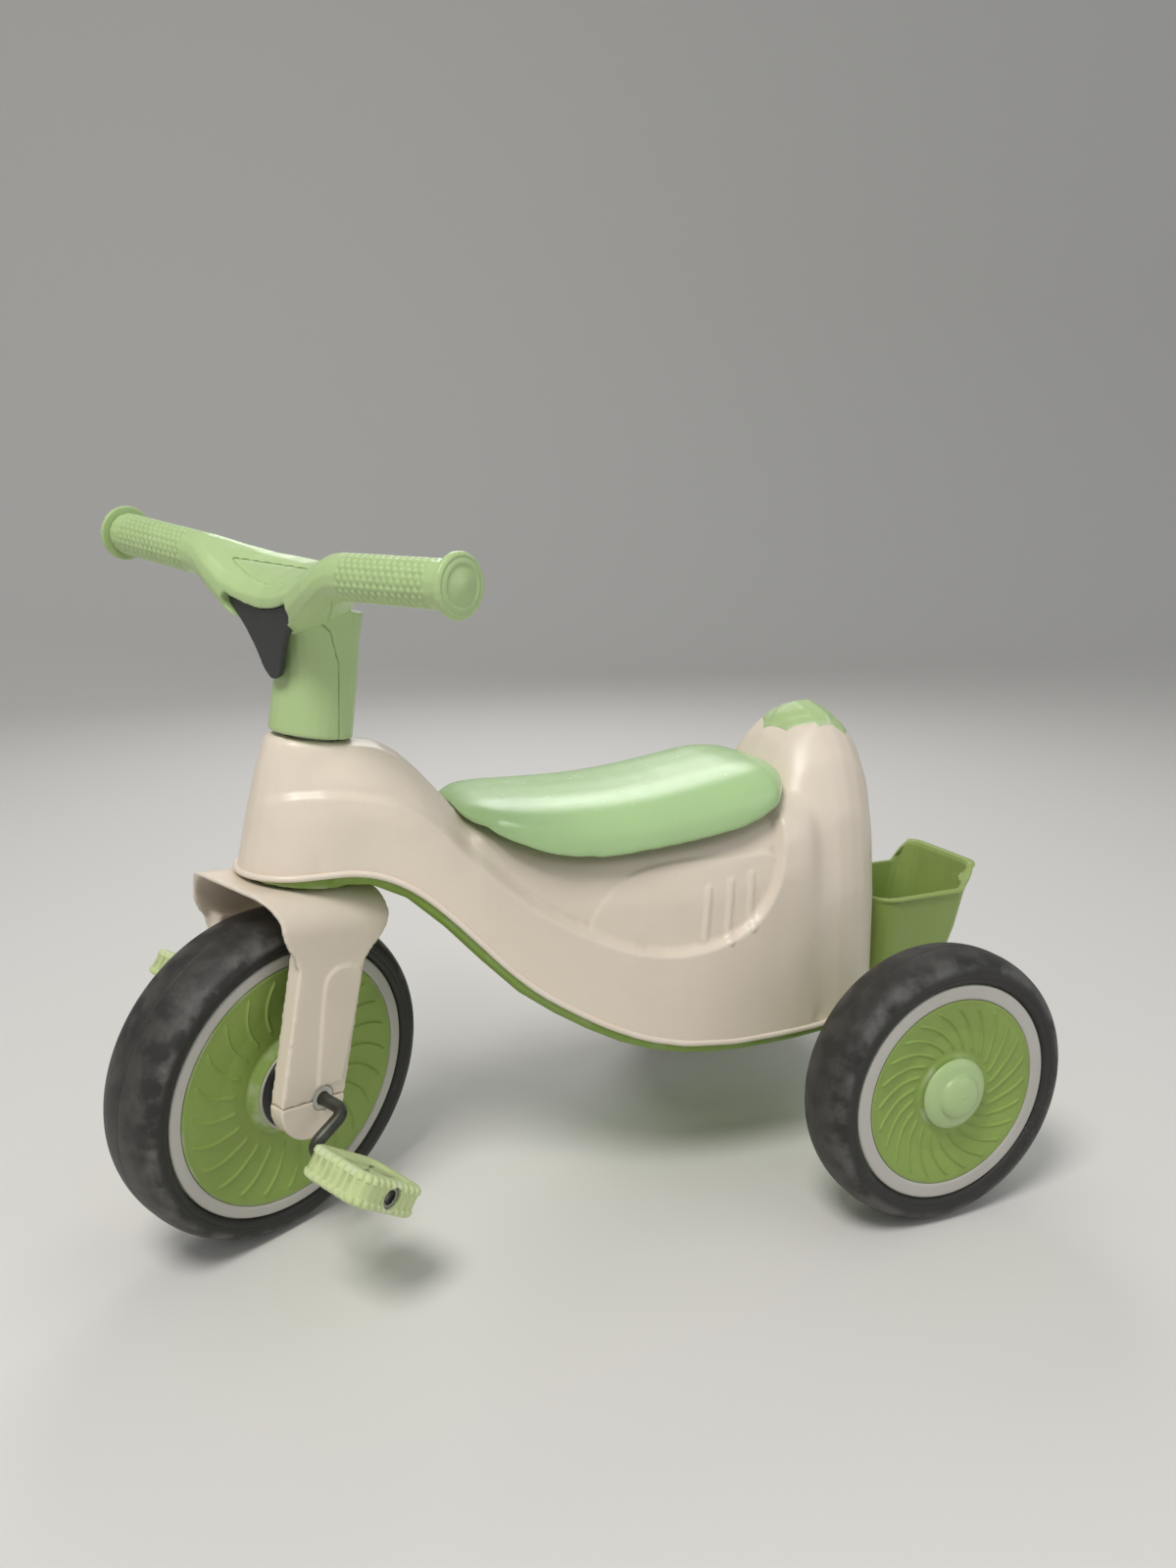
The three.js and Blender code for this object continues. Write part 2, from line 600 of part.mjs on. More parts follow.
// round bar through a list of points, with a ball at each corner
function bentBar(points, radius) {
  const pieces = [];
  points.slice(1).forEach((end, i) => {
    const start = points[i];
    const span = end.clone().sub(start);
    const straight = new THREE.CylinderGeometry(radius, radius, span.length(), 8);
    const turn = new THREE.Quaternion().setFromUnitVectors(new THREE.Vector3(0, 1, 0), span.clone().normalize());
    straight.applyQuaternion(turn);
    pieces.push(toSolid(straight.translate(...start.clone().add(end).multiplyScalar(0.5).toArray())));
    if (i > 0) pieces.push(toSolid(new THREE.SphereGeometry(radius, 8, 4).translate(...start.toArray())));
  });
  return join(...pieces);
}
function crankshaft() {
  const at = (share, y) => new THREE.Vector3(share * armX, y, share * armZ);
  return bentBar([at(-1, -spindleEnd), at(-1, -crankArmAt), at(0, -crankArmAt),
    at(0, crankArmAt), at(1, crankArmAt), at(1, spindleEnd)], crankRadius);
}
addPiece(frontWheel, 'crankshaft', crankshaft(), finish('steel', 0.45, 0.8));

// pedal about its spindle: tread block with a recess for the nut at its outer end
const pedalNut = { radius: 7, depth: 6, thickness: 3 };
function pedalBlock() {
  const { length, width, corner, thickness } = pedal;
  const plan = roundedOutline(length / 2, width / 2, corner);
  const block = new THREE.ExtrudeGeometry(plan, { depth: thickness - 4, bevelSize: 1.5, bevelOffset: -1.5,
    bevelThickness: 2, bevelSegments: 1, curveSegments: 5 });
  const bore = rod(crankRadius + runGap, -width, width, 16);
  const recess = rod(pedalNut.radius + touchGap, width / 2 - pedalNut.depth, width, 16);
  return cut(toSolid(block.translate(0, 0, 2 - thickness / 2)), bore, recess);
}
function roundedOutline(halfX, halfY, corner) {
  const shape = new THREE.Shape();
  shape.moveTo(halfX - corner, -halfY);
  shape.absarc(halfX - corner, corner - halfY, corner, -Math.PI / 2, 0);
  shape.absarc(halfX - corner, halfY - corner, corner, 0, Math.PI / 2);
  shape.absarc(corner - halfX, halfY - corner, corner, Math.PI / 2, Math.PI);
  shape.absarc(corner - halfX, corner - halfY, corner, Math.PI, 1.5 * Math.PI);
  return shape;
}
for (const [side, sign] of [['left', 1], ['right', -1]]) {
  const foot = new THREE.Group();
  foot.position.set(sign * armX, sign * pedalCentre, sign * armZ);
  foot.rotation.y = -pedalTilt;
  const facing = (solid) => (sign > 0 ? solid : mirrored(solid));
  const floor = pedal.width / 2 - pedalNut.depth;
  const nut = tube(crankRadius + touchGap, pedalNut.radius - touchGap, floor + touchGap, floor + pedalNut.thickness, 12);
  frontWheel.add(foot);
  addPiece(foot, `pedal_${side}`, facing(pedalBlock()), finish('pedal', 0.45));
  addPiece(foot, `pedal_nut_${side}`, facing(nut), finish('zinc', 0.35, 0.9));
}

// ---- fork ---------------------------------------------------------------------------------
// side outlines run [x, z] in the steering frame
const legFrontTop = 28;
const legRearTop = -28;
const legEndCentre = 8;
const crankBushRadius = crankRadius + runGap + bushWall;
function legOutline() {
  const end = new THREE.Path().absarc(legEndCentre, 0, legEndRadius, 0, -Math.PI, true).getPoints(10);
  return [[legFrontTop, legTopHeight + 8], ...end.map((p) => [p.x, p.y]), [legRearTop, legTopHeight + 8]];
}
function forkLeg(sign) {
  const from = sign > 0 ? legFootOuter - legThickness : -legFootOuter;
  const spread = -sign * (legFootOuter - legOuter) / legTopHeight;
  const shear = new THREE.Matrix4().set(1, 0, 0, 0, 0, 1, spread, 0, 0, 0, 1, 0, 0, 0, 0, 1);
  return toSolid(toGeometry(prismY(legOutline(), from, from + legThickness)).applyMatrix4(shear));
}
function fender() {
  const section = new THREE.Shape();
  const inner = new THREE.Path();
  archPath(section, legOuter, fenderTop, fenderCorner, legTopHeight - 2);
  archPath(inner, legOuter - fenderWall, fenderTop - fenderWall, fenderCorner - fenderWall, legTopHeight - 12);
  const along = (shape) => toSolid(new THREE.ExtrudeGeometry(new THREE.Shape(shape.getPoints(6)),
    { depth: 160, bevelEnabled: false }).rotateX(Math.PI / 2).rotateZ(Math.PI / 2).translate(-80, 0, 0));
  const shell = cut(along(section), along(inner));
  const top = fenderTop + 2;
  const side = [[56, top], [55, top - 4], [50, top - 9], [46, top - 16], [43, top - 28], [38, top - 36], [33, top - 41],
    [legFrontTop, legTopHeight - 8], [legRearTop, legTopHeight - 8], [-31, legTopHeight + 2], [-38, top - 37],
    [-43, top - 30], [-46, top - 19], [-44, top - 8], [-42, top]];
  return shell.intersect(prismY(side, -legOuter - 1, legOuter + 1));
}
function archPath(path, half, top, corner, bottom) {
  path.moveTo(half, bottom);
  path.lineTo(half, top - corner);
  path.absarc(half - corner, top - corner, corner, 0, Math.PI / 2);
  path.absarc(corner - half, top - corner, corner, Math.PI / 2, Math.PI);
  path.lineTo(-half, bottom);
}
const halfSpace = (above) => toSolid(new THREE.BoxGeometry(400, 400, 400)
  .translate(0, 0, legSeamHeight + (above ? 1 : -1) * (200 + touchGap / 2)));
const axleBore = rod(crankBushRadius + touchGap, -80, 80);
const columnFoot = fenderTop - crownBossDepth;
function fork() {
  const boss = alongZ(rod(crownBossRadius, columnFoot, fenderTop - 0.5, 24));
  const bore = alongZ(rod(columnRadius + touchGap, 100, 200, 24));
  const upper = halfSpace(true);
  const pilot = (sign) => placed(alongZ(rod(screwRadius + touchGap, -1, legScrewSeat + legScrewLength + 1, 12)),
    legScrewX, sign * legMiddle, 0);
  const legs = [1, -1].map((sign) => cut(forkLeg(sign).intersect(upper), axleBore, pilot(sign)));
  return cut(join(fender(), boss, ...legs), bore);
}
const legMiddle = legFootOuter - legThickness / 2;
const legScrewX = 23;             // ahead of the axle hole, driven up through the cap into the leg
const legScrewLength = 26;
const legScrewSeat = -12;
function legCap(sign) {
  const shank = alongZ(rod(screwRadius + touchGap, -60, 60, 12));
  const recess = alongZ(rod(screwHeadRadius + touchGap, -60, legScrewSeat, 12));
  const place = (solid) => placed(solid, legScrewX, sign * legMiddle, 0);
  return cut(forkLeg(sign).intersect(halfSpace(false)), axleBore, place(shank), place(recess));
}
addPiece(steering, 'fork', fork(), finish('cream', 0.35));
for (const [side, sign] of [['left', 1], ['right', -1]]) {
  const facing = (solid) => (sign > 0 ? solid : mirrored(solid));
  addPiece(steering, `fork_end_cap_${side}`, legCap(sign), finish('cream', 0.35));
  const bush = tube(crankRadius + runGap, crankBushRadius, legFootOuter - legThickness + 1, legFootOuter - 1, 16);
  addPiece(steering, `crank_bush_${side}`, facing(bush), finish('bush', 0.5));
  const driven = placed(alongDown(screw(legScrewLength)), legScrewX, sign * legMiddle, legScrewSeat - touchGap);
  addPiece(steering, `fork_cap_screw_${side}`, driven, finish('steel', 0.4, 0.9));
}

// ---- steering column and handlebar --------------------------------------------------------
const column = alongZ(tube(columnRadius - columnWall, columnRadius, columnFoot, columnTop));
addPiece(steering, 'steering_column', column, finish('zinc', 0.35, 0.9));
const columnNut = alongZ(join(rod(columnRadius - columnWall - touchGap, columnFoot - touchGap - 1, columnFoot + 8, 16),
  rod(columnRadius + 4, columnFoot - touchGap - 5, columnFoot - touchGap, 6)));
addPiece(steering, 'column_bolt', columnNut, finish('zinc', 0.35, 0.9));

// oval section across the bar: centre, half lengths and forward tip, at a distance y from the middle
function barSection(y, [x, z, long, thick, tip, fullness]) {
  const lean = THREE.MathUtils.degToRad(tip);
  return Array.from({ length: 14 }, (_, i) => {
    const angle = (2 * Math.PI * i) / 14;
    const power = (v) => Math.sign(v) * Math.abs(v) ** (2 / fullness);
    const u = long * power(Math.cos(angle));
    const v = thick * power(Math.sin(angle));
    return new THREE.Vector3(x + u * Math.cos(lean) + v * Math.sin(lean), y, z - u * Math.sin(lean) + v * Math.cos(lean));
  });
}
const gripHeight = (y) => gripInnerHeight + (Math.abs(y) - gripInner) * Math.tan(gripRise);
function barStations() {
  const half = [
    [0, [22, 330.6, 33, 19, 26, 2.8]], [18, [24, 331.6, 33, 19, 25, 2.8]], [34, [31, 334.6, 30, 18, 23, 2.6]],
    [50, [40, 341.6, 23, 16, 18, 2.4]], [62, [45.5, 346.6, 17, 15, 8, 2.1]],
    [gripInner, [barForward, gripInnerHeight, gripRadius, gripRadius, 0, 2]],
    [gripOuter + 2, [barForward, gripHeight(gripOuter + 2), gripRadius, gripRadius, 0, 2]],
  ];
  return [...half.slice(1).reverse().map(([y, form]) => [-y, form]), ...half];
}
function handlebarForm() {
  const bar = toSolid(loft(barStations().map(([y, form]) => barSection(y, form))));
  const circle = (radius, forward, z) => Array.from({ length: 24 }, (_, i) => {
    const angle = (2 * Math.PI * i) / 24;
    return new THREE.Vector3(radius * Math.cos(angle) + (Math.cos(angle) > 0 ? forward : 0), radius * Math.sin(angle), z);
  });
  const stem = toSolid(loft([
    circle(stemRadius - 0.6, 1, stemBottom), circle(stemRadius, 1, stemBottom + 2), circle(26.6, 2, 282),
    circle(stemTopRadius, 8, 302), circle(stemTopRadius, 16, 326),
  ]));
  return join(bar, stem);
}
function gripTube(radius, from, to, sign) {
  const hollow = rod(radius, from, to, 16);
  return placed(facingBar(hollow, sign), barForward, 0, 0);
}
function facingBar(solid, sign) {
  const drop = gripInnerHeight - gripInner * Math.tan(gripRise);
  const lean = toSolid(toGeometry(solid).rotateX(gripRise).translate(0, 0, drop));
  return sign > 0 ? lean : mirrored(lean);
}
function rearShellSpace() {
  const seam = [[-80, stemBottom - 10], [-2, stemBottom - 10], [-2, stemBottom], [5, 292], [13, 311], [40, 328.6],
    [48, 332.6], [48, 348.6], [24, 348.6], [-80, 348.6]];
  return prismY(seam, -220, 220);
}
const trim = { topHalf: 33, sideHalf: 13, tip: 52, thickness: 5, proud: 2 };
function trimShape(grow) {
  const top = trim.topHalf + grow;
  const waist = trim.sideHalf + grow;
  const shape = new THREE.Shape();
  shape.moveTo(0, -5 + grow);
  shape.quadraticCurveTo(top * 0.6, -3 + grow, top - 4, 3 + grow);
  shape.quadraticCurveTo(top + 2, 2, top - 1, -6);
  shape.quadraticCurveTo(waist + 2, -24, waist - 4.5, -trim.tip + 7);
  shape.quadraticCurveTo(0, -trim.tip - 7 - grow, 4.5 - waist, -trim.tip + 7);
  shape.quadraticCurveTo(-waist - 2, -24, 1 - top, -6);
  shape.quadraticCurveTo(-top - 2, 2, 4 - top, 3 + grow);
  shape.quadraticCurveTo(-top * 0.6, -3 + grow, 0, -5 + grow);
  return shape;
}
const trimFoot = { x: 33.5, z: 276 };
const trimHead = { x: 50.5, z: 325.5 };
function trimSolid(grow) {
  const lean = Math.atan2(trimHead.x - trimFoot.x, trimHead.z - trimFoot.z);
  const plate = new THREE.ExtrudeGeometry(trimShape(grow), { depth: trim.thickness + (grow ? 30 : 0),
    bevelEnabled: false, curveSegments: 5 });
  plate.translate(0, 0, -trim.thickness + trim.proud);
  plate.rotateX(Math.PI / 2).rotateZ(Math.PI / 2).rotateY(lean);
  return placed(toSolid(plate), trimHead.x, 0, trimHead.z);
}
const stemScrew = { height: 249, length: 14 };
const stemScrewHole = placed(prismScrew(screwRadius + touchGap), 0, 0, stemScrew.height);
function prismScrew(radius) {
  return toSolid(toGeometry(rod(radius, -60, 0, 12)).rotateZ(-Math.PI / 2));
}
function handlebarShells() {
  const bores = [1, -1].map((sign) => gripTube(gripBore, gripInner - 6, gripOuter + 20, sign));
  const columnHole = alongZ(rod(columnRadius + touchGap, stemBottom - 10, columnTop + 3, 24));
  const ends = [1, -1].map((sign) => gripTube(gripRadius + 5, gripOuter, gripOuter + 20, sign));
  const whole = cut(handlebarForm(), columnHole, ...bores, ...ends);
  const rearSpace = rearShellSpace();
  return { front: cut(whole, rearSpace, trimSolid(touchGap)), rear: cut(whole.intersect(rearSpace), stemScrewHole) };
}
const shells = handlebarShells();
addPiece(steering, 'handlebar_front_shell', shells.front, finish('green', 0.4));
addPiece(steering, 'handlebar_rear_shell', shells.rear, finish('green', 0.4));
addPiece(steering, 'handlebar_trim', trimSolid(0), finish('trim', 0.45));
function gripEnd(sign) {
  const at = gripOuter + touchGap;
  const outer = [[0, at], [gripFlangeRadius, at], [gripFlangeRadius, at + 3], [gripFlangeRadius - 2, at + gripFlangeThickness - 0.6],
    [gripFlangeRadius - 4, at + 3.6], [8, at + gripFlangeThickness], [0, at + gripFlangeThickness + 0.6]];
  const plug = rod(gripBore - touchGap, at - 12, at + 1, 16);
  return placed(facingBar(join(turned(outer, 24), plug), sign), barForward, 0, 0);
}
addPiece(steering, 'grip_end_left', gripEnd(1), finish('green', 0.4));
addPiece(steering, 'grip_end_right', gripEnd(-1), finish('green', 0.4));
const clampScrew = toSolid(toGeometry(screw(stemScrew.length)).rotateY(-Math.PI / 2));
addPiece(steering, 'stem_screw', placed(clampScrew, -stemRadius - 0.4, 0, stemScrew.height), finish('steel', 0.4, 0.9));

// stand the tricycle on the floor with the origin under the middle of its outline
trike.updateMatrixWorld(true);
const outline = new THREE.Box3().setFromObject(trike, true);
trike.position.set(-(outline.min.x + outline.max.x) / 2, -(outline.min.y + outline.max.y) / 2, -outline.min.z);

export default trike;
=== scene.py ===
import json
import math

import bmesh
import bpy
import numpy as np
from mathutils import Matrix, Vector
from mathutils.bvhtree import BVHTree


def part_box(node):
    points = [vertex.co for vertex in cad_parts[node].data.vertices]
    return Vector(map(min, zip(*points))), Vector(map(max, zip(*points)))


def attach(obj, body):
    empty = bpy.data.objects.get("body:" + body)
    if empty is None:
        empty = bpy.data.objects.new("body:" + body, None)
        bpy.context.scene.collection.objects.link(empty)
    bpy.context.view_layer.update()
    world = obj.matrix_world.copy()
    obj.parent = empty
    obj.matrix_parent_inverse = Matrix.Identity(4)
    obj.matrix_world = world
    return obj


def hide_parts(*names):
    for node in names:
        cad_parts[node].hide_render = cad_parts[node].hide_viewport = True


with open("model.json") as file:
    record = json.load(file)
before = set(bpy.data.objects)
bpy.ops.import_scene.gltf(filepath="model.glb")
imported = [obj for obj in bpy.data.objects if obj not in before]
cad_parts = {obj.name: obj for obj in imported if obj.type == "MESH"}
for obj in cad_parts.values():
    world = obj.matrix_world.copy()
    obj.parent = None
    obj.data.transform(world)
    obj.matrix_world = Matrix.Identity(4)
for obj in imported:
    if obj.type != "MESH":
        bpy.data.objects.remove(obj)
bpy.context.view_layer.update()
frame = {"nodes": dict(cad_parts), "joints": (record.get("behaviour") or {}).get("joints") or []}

mm = 0.001
joints = {joint["name"]: joint for joint in frame["joints"]}


# places: each is (origin in metres, rows of unit axes); points in them are millimetres
def placeAt(origin, forward, left, up):
    return np.array(origin, float), np.array([forward, left, up], float)


def toLocal(points, place):
    return (points - place[0]) @ place[1].T / mm


def toWorld(points, place):
    return np.asarray(points, float) * mm @ place[1] + place[0]


def tilted(place, origin, angle):  # turned about the place's own left axis
    forward, left, up = place[1]
    c, s = math.cos(angle), math.sin(angle)
    return placeAt(origin, forward * c + up * s, left, up * c - forward * s)


rearWheelHeight = 0.1009
axleLow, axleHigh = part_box("rear_axle")
axleMiddle = (axleLow + axleHigh) / 2
bodyPlace = placeAt((axleMiddle.x, 0, axleMiddle.z - rearWheelHeight), (1, 0, 0), (0, 1, 0), (0, 0, 1))
steerUp = Vector(joints["steering_pivot"]["axis"]).normalized()
steerLeft = Vector(joints["front_wheel_spin"]["axis"]).normalized()
steerPlace = placeAt(joints["front_wheel_spin"]["pos_m"], steerLeft.cross(steerUp), steerLeft, steerUp)
rearPlaces = {
    side: placeAt(joints[f"rear_wheel_{side}_spin"]["pos_m"], (1, 0, 0), (0, 1, 0), (0, 0, 1))
    for side in ("left", "right")
}
pedalTilt = math.radians(27)
pedalPlaces = {
    side: tilted(steerPlace, joints[f"pedal_{side}_spin"]["pos_m"], pedalTilt) for side in ("left", "right")
}
sides = (("left", 1), ("right", -1))


# small maths
def ramp(low, high, value):
    t = np.clip((value - low) / (high - low), 0, 1)
    return t * t * (3 - 2 * t)


def lineDistance(points, line, closed=False):
    line = np.asarray(line, float)
    ends = np.roll(line, -1, axis=0) if closed else line[1:]
    best = np.full(len(points), 1e9)
    for start, end in zip(line, ends):
        span = end - start
        t = np.clip((points - start) @ span / (span @ span), 0, 1)
        best = np.minimum(best, np.linalg.norm(points - start - t[:, None] * span, axis=1))
    return best


def insideOf(points, outline):
    outline = np.asarray(outline, float)
    inside = np.zeros(len(points), bool)
    x, y = points[:, 0], points[:, 1]
    for (x0, y0), (x1, y1) in zip(outline, np.roll(outline, -1, axis=0)):
        if y0 != y1:
            inside ^= ((y0 > y) != (y1 > y)) & (x < (x1 - x0) * (y - y0) / (y1 - y0) + x0)
    return inside


def depthInside(points, outline):  # positive inside the outline, negative outside
    away = lineDistance(points, outline, closed=True)
    return np.where(insideOf(points, outline), away, -away)


def cornersCut(points, rounds, closed=True):  # rounds the corners of a line of points
    points = np.asarray(points, float)
    for _ in range(rounds):
        ahead = np.roll(points, -1, axis=0) if closed else points[1:]
        here = points if closed else points[:-1]
        mixed = np.stack([here * 0.75 + ahead * 0.25, here * 0.25 + ahead * 0.75], 1)
        mixed = mixed.reshape(-1, points.shape[1])
        points = mixed if closed else np.vstack([points[:1], mixed, points[-1:]])
    return points


# meshes
def readVectors(mesh, key):
    flat = np.empty(len(mesh.vertices) * 3, np.float32)
    mesh.vertices.foreach_get(key, flat)
    return flat.reshape(-1, 3).astype(float)


def readPoints(mesh):
    return readVectors(mesh, "co")


def readNormals(mesh):
    return readVectors(mesh, "normal")


def readEdges(mesh):
    flat = np.empty(len(mesh.edges) * 2, np.int32)
    mesh.edges.foreach_get("vertices", flat)
    return flat.reshape(-1, 2)


def writePoints(mesh, points):
    mesh.vertices.foreach_set("co", points.astype(np.float32).ravel())
    mesh.update()


def keepValues(mesh, name, values):
    layer = mesh.attributes.get(name) or mesh.attributes.new(name, "FLOAT", "POINT")
    layer.data.foreach_set("value", np.asarray(values, np.float32))


def dustOnTop(mesh, most):
    keepValues(mesh, "dust", ramp(0.5, 1, readNormals(mesh)[:, 2]) * most)


def aroundMean(values, edges, count):  # mean of each vertex's neighbours
    total = np.zeros((count,) + values.shape[1:])
    np.add.at(total, edges[:, 0], values[edges[:, 1]])
    np.add.at(total, edges[:, 1], values[edges[:, 0]])
    near = np.bincount(edges.ravel(), minlength=count).clip(1)
    return total / (near if values.ndim == 1 else near[:, None])


# rounds of averaging, and the bend in millimetres where each mark starts and is full
wearSearch = {"pointRounds": 2, "bendRounds": 5, "hollow": (0.02, 0.14), "sharp": (0.03, 0.2)}


def markWear(mesh):  # stores how hollow or how sharp the surface is at each vertex
    count = len(mesh.vertices)
    edges = readEdges(mesh)
    points, normals = readPoints(mesh), readNormals(mesh)
    for _ in range(wearSearch["pointRounds"]):
        points = (points + aroundMean(points, edges, count)) / 2
    bend = ((aroundMean(points, edges, count) - points) * normals).sum(1)
    for _ in range(wearSearch["bendRounds"]):
        bend = (bend + aroundMean(bend, edges, count)) / 2
    for name, way in (("hollow", 1), ("sharp", -1)):
        low, high = wearSearch[name]
        keepValues(mesh, name, ramp(low * mm, high * mm, way * bend))


def eased(mesh, points, share, rounds):  # evens out the surface where share is above nothing
    edges = readEdges(mesh)
    edges = edges[(share[edges[:, 0]] > 0) | (share[edges[:, 1]] > 0)]
    first = np.concatenate([edges[:, 0], edges[:, 1]])
    last = np.concatenate([edges[:, 1], edges[:, 0]])
    near = np.bincount(first, minlength=len(points)).clip(1)
    for _ in range(rounds):
        for axis in range(3):
            mean = np.bincount(first, points[last, axis], len(points)) / near
            points[:, axis] += 0.6 * share * (mean - points[:, axis])
    return points


def linked(name, data):
    item = bpy.data.objects.new(name, data)
    bpy.context.scene.collection.objects.link(item)
    return item


def evaluated(item):  # the mesh that an object's modifiers make
    return bpy.data.meshes.new_from_object(item.evaluated_get(bpy.context.evaluated_depsgraph_get()))


def addPiece(name, mesh, body, finish, replaced=(), crisp=None):
    mesh.shade_smooth()
    if crisp:
        mesh.set_sharp_from_angle(angle=math.radians(crisp))
    markWear(mesh)
    piece = linked(name, mesh)
    mesh.materials.clear()
    mesh.materials.append(finishes[finish])
    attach(piece, body)
    if replaced:
        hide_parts(*replaced)
    return piece


def meshOf(points, faces):
    mesh = bpy.data.meshes.new("work")
    mesh.from_pydata([tuple(point) for point in points], [], faces)
    work = bmesh.new()
    work.from_mesh(mesh)
    bmesh.ops.remove_doubles(work, verts=work.verts, dist=1e-6)
    bmesh.ops.recalc_face_normals(work, faces=work.faces)
    work.to_mesh(mesh)
    work.free()
    return mesh


def gridFaces(rows, columns, rowsClose=False, columnsClose=True):
    faces = []
    for i in range(rows if rowsClose else rows - 1):
        for j in range(columns if columnsClose else columns - 1):
            a, b = i * columns, ((i + 1) % rows) * columns
            k = (j + 1) % columns
            faces.append((a + j, a + k, b + k, b + j))
    return faces


def ringSkin(rings, place):  # rings of millimetre points, closed at both ends
    rings = np.asarray(rings, float)
    rows, columns = rings.shape[:2]
    points = np.vstack([rings.reshape(-1, 3), rings[0].mean(0)[None], rings[-1].mean(0)[None]])
    faces = gridFaces(rows, columns)
    first, last = rows * columns, rows * columns + 1
    for j in range(columns):
        k = (j + 1) % columns
        faces.append((first, k, j))
        faces.append((last, (rows - 1) * columns + j, (rows - 1) * columns + k))
    return meshOf(toWorld(points, place), faces)


def turned(profile, place, sign=1, steps=168, angles=None, lift=None):
    # profile is a closed list of (radius, along the left axis); lift raises it along that axis
    profile = np.asarray(profile, float)
    radius, along = profile[:, 0], profile[:, 1]
    if angles is None:
        angles = np.tile(np.linspace(0, 2 * math.pi, steps, endpoint=False), (len(profile), 1))
    out = along[:, None] + (0 if lift is None else lift)
    rings = np.stack([radius[:, None] * np.cos(angles), sign * (out + 0 * angles),
                      radius[:, None] * np.sin(angles)], 2)
    rows, columns = rings.shape[:2]
    return meshOf(toWorld(rings.reshape(-1, 3), place), gridFaces(rows, columns, rowsClose=True))


def softened(node, form):  # a fine, evenly rounded copy of a CAD node's mesh
    source = frame["nodes"][node].data.copy()
    weld = bmesh.new()
    weld.from_mesh(source)
    bmesh.ops.remove_doubles(weld, verts=weld.verts, dist=1e-6)
    whole = weld.verts[:] + weld.edges[:] + weld.faces[:]
    for shift, start, end in form.get("backing", ()):  # moved copies, which back thin walls and edges
        copied = bmesh.ops.duplicate(weld, geom=whole)["geom"]
        for vertex in (item for item in copied if isinstance(item, bmesh.types.BMVert)):
            share = ramp(start, end, (vertex.co.x - bodyPlace[0][0]) / mm)
            vertex.co += Vector(shift) * float(share) * mm
    weld.to_mesh(source)
    weld.free()
    work = linked("work", source)
    remesh = work.modifiers.new("remesh", "REMESH")
    remesh.mode = "VOXEL"
    remesh.voxel_size = form["voxel"] * mm
    smooth = work.modifiers.new("smooth", "SMOOTH")
    smooth.factor = 0.5
    smooth.iterations = form["rounds"]
    mesh = evaluated(work)
    bpy.data.objects.remove(work)
    return mesh


def swept(path, radius, place, columns=20, closed=False):
    path = np.asarray(path, float)
    along = np.gradient(path, axis=0) if not closed else np.roll(path, -1, 0) - np.roll(path, 1, 0)
    along /= np.linalg.norm(along, axis=1)[:, None]
    side = np.cross(along[0], (0.31, 0.17, 0.94))
    turn = np.linspace(0, 2 * math.pi, columns, endpoint=False)
    rings = []
    for point, way, size in zip(path, along, np.broadcast_to(radius, len(path))):
        side = side - way * (side @ way)
        side /= np.linalg.norm(side)
        over = np.cross(way, side)
        rings.append(point + size * (np.cos(turn)[:, None] * side + np.sin(turn)[:, None] * over))
    if not closed:
        return ringSkin(rings, place)
    rings = np.array(rings)
    faces = gridFaces(len(rings), columns, rowsClose=True)
    return meshOf(toWorld(rings.reshape(-1, 3), place), faces)


# finishes
def paint(red, green, blue):  # from display values to linear ones
    linear = [((v / 255 + 0.055) / 1.055) ** 2.4 if v > 10 else v / 3295 for v in (red, green, blue)]
    return (*linear, 1)


wearSockets = {
    "INPUT": {"Base": "Color", "Grime": "Color", "Amount": "Float", "Roughness": "Float", "Peel": "Float",
              "Dust": "Float"},
    "OUTPUT": {"Color": "Color", "Roughness": "Float", "Height": "Float"},
}
# how much each kind of wear counts in the dirt, the rubbed edges, the roughness and the height
wearShare = {
    "blotches": 0.45, "specks": 0.5, "creaseLeast": 0.35, "dustLeast": 0.3, "dirtMost": 0.92,
    "scratches": 0.7, "rubbed": 0.28, "dirtRough": 0.3, "roughSpread": 0.14, "speckHeight": 0.1,
    "scratchDepth": 0.5,
}
rubbedTint = (0.85, 0.84, 0.8, 1)


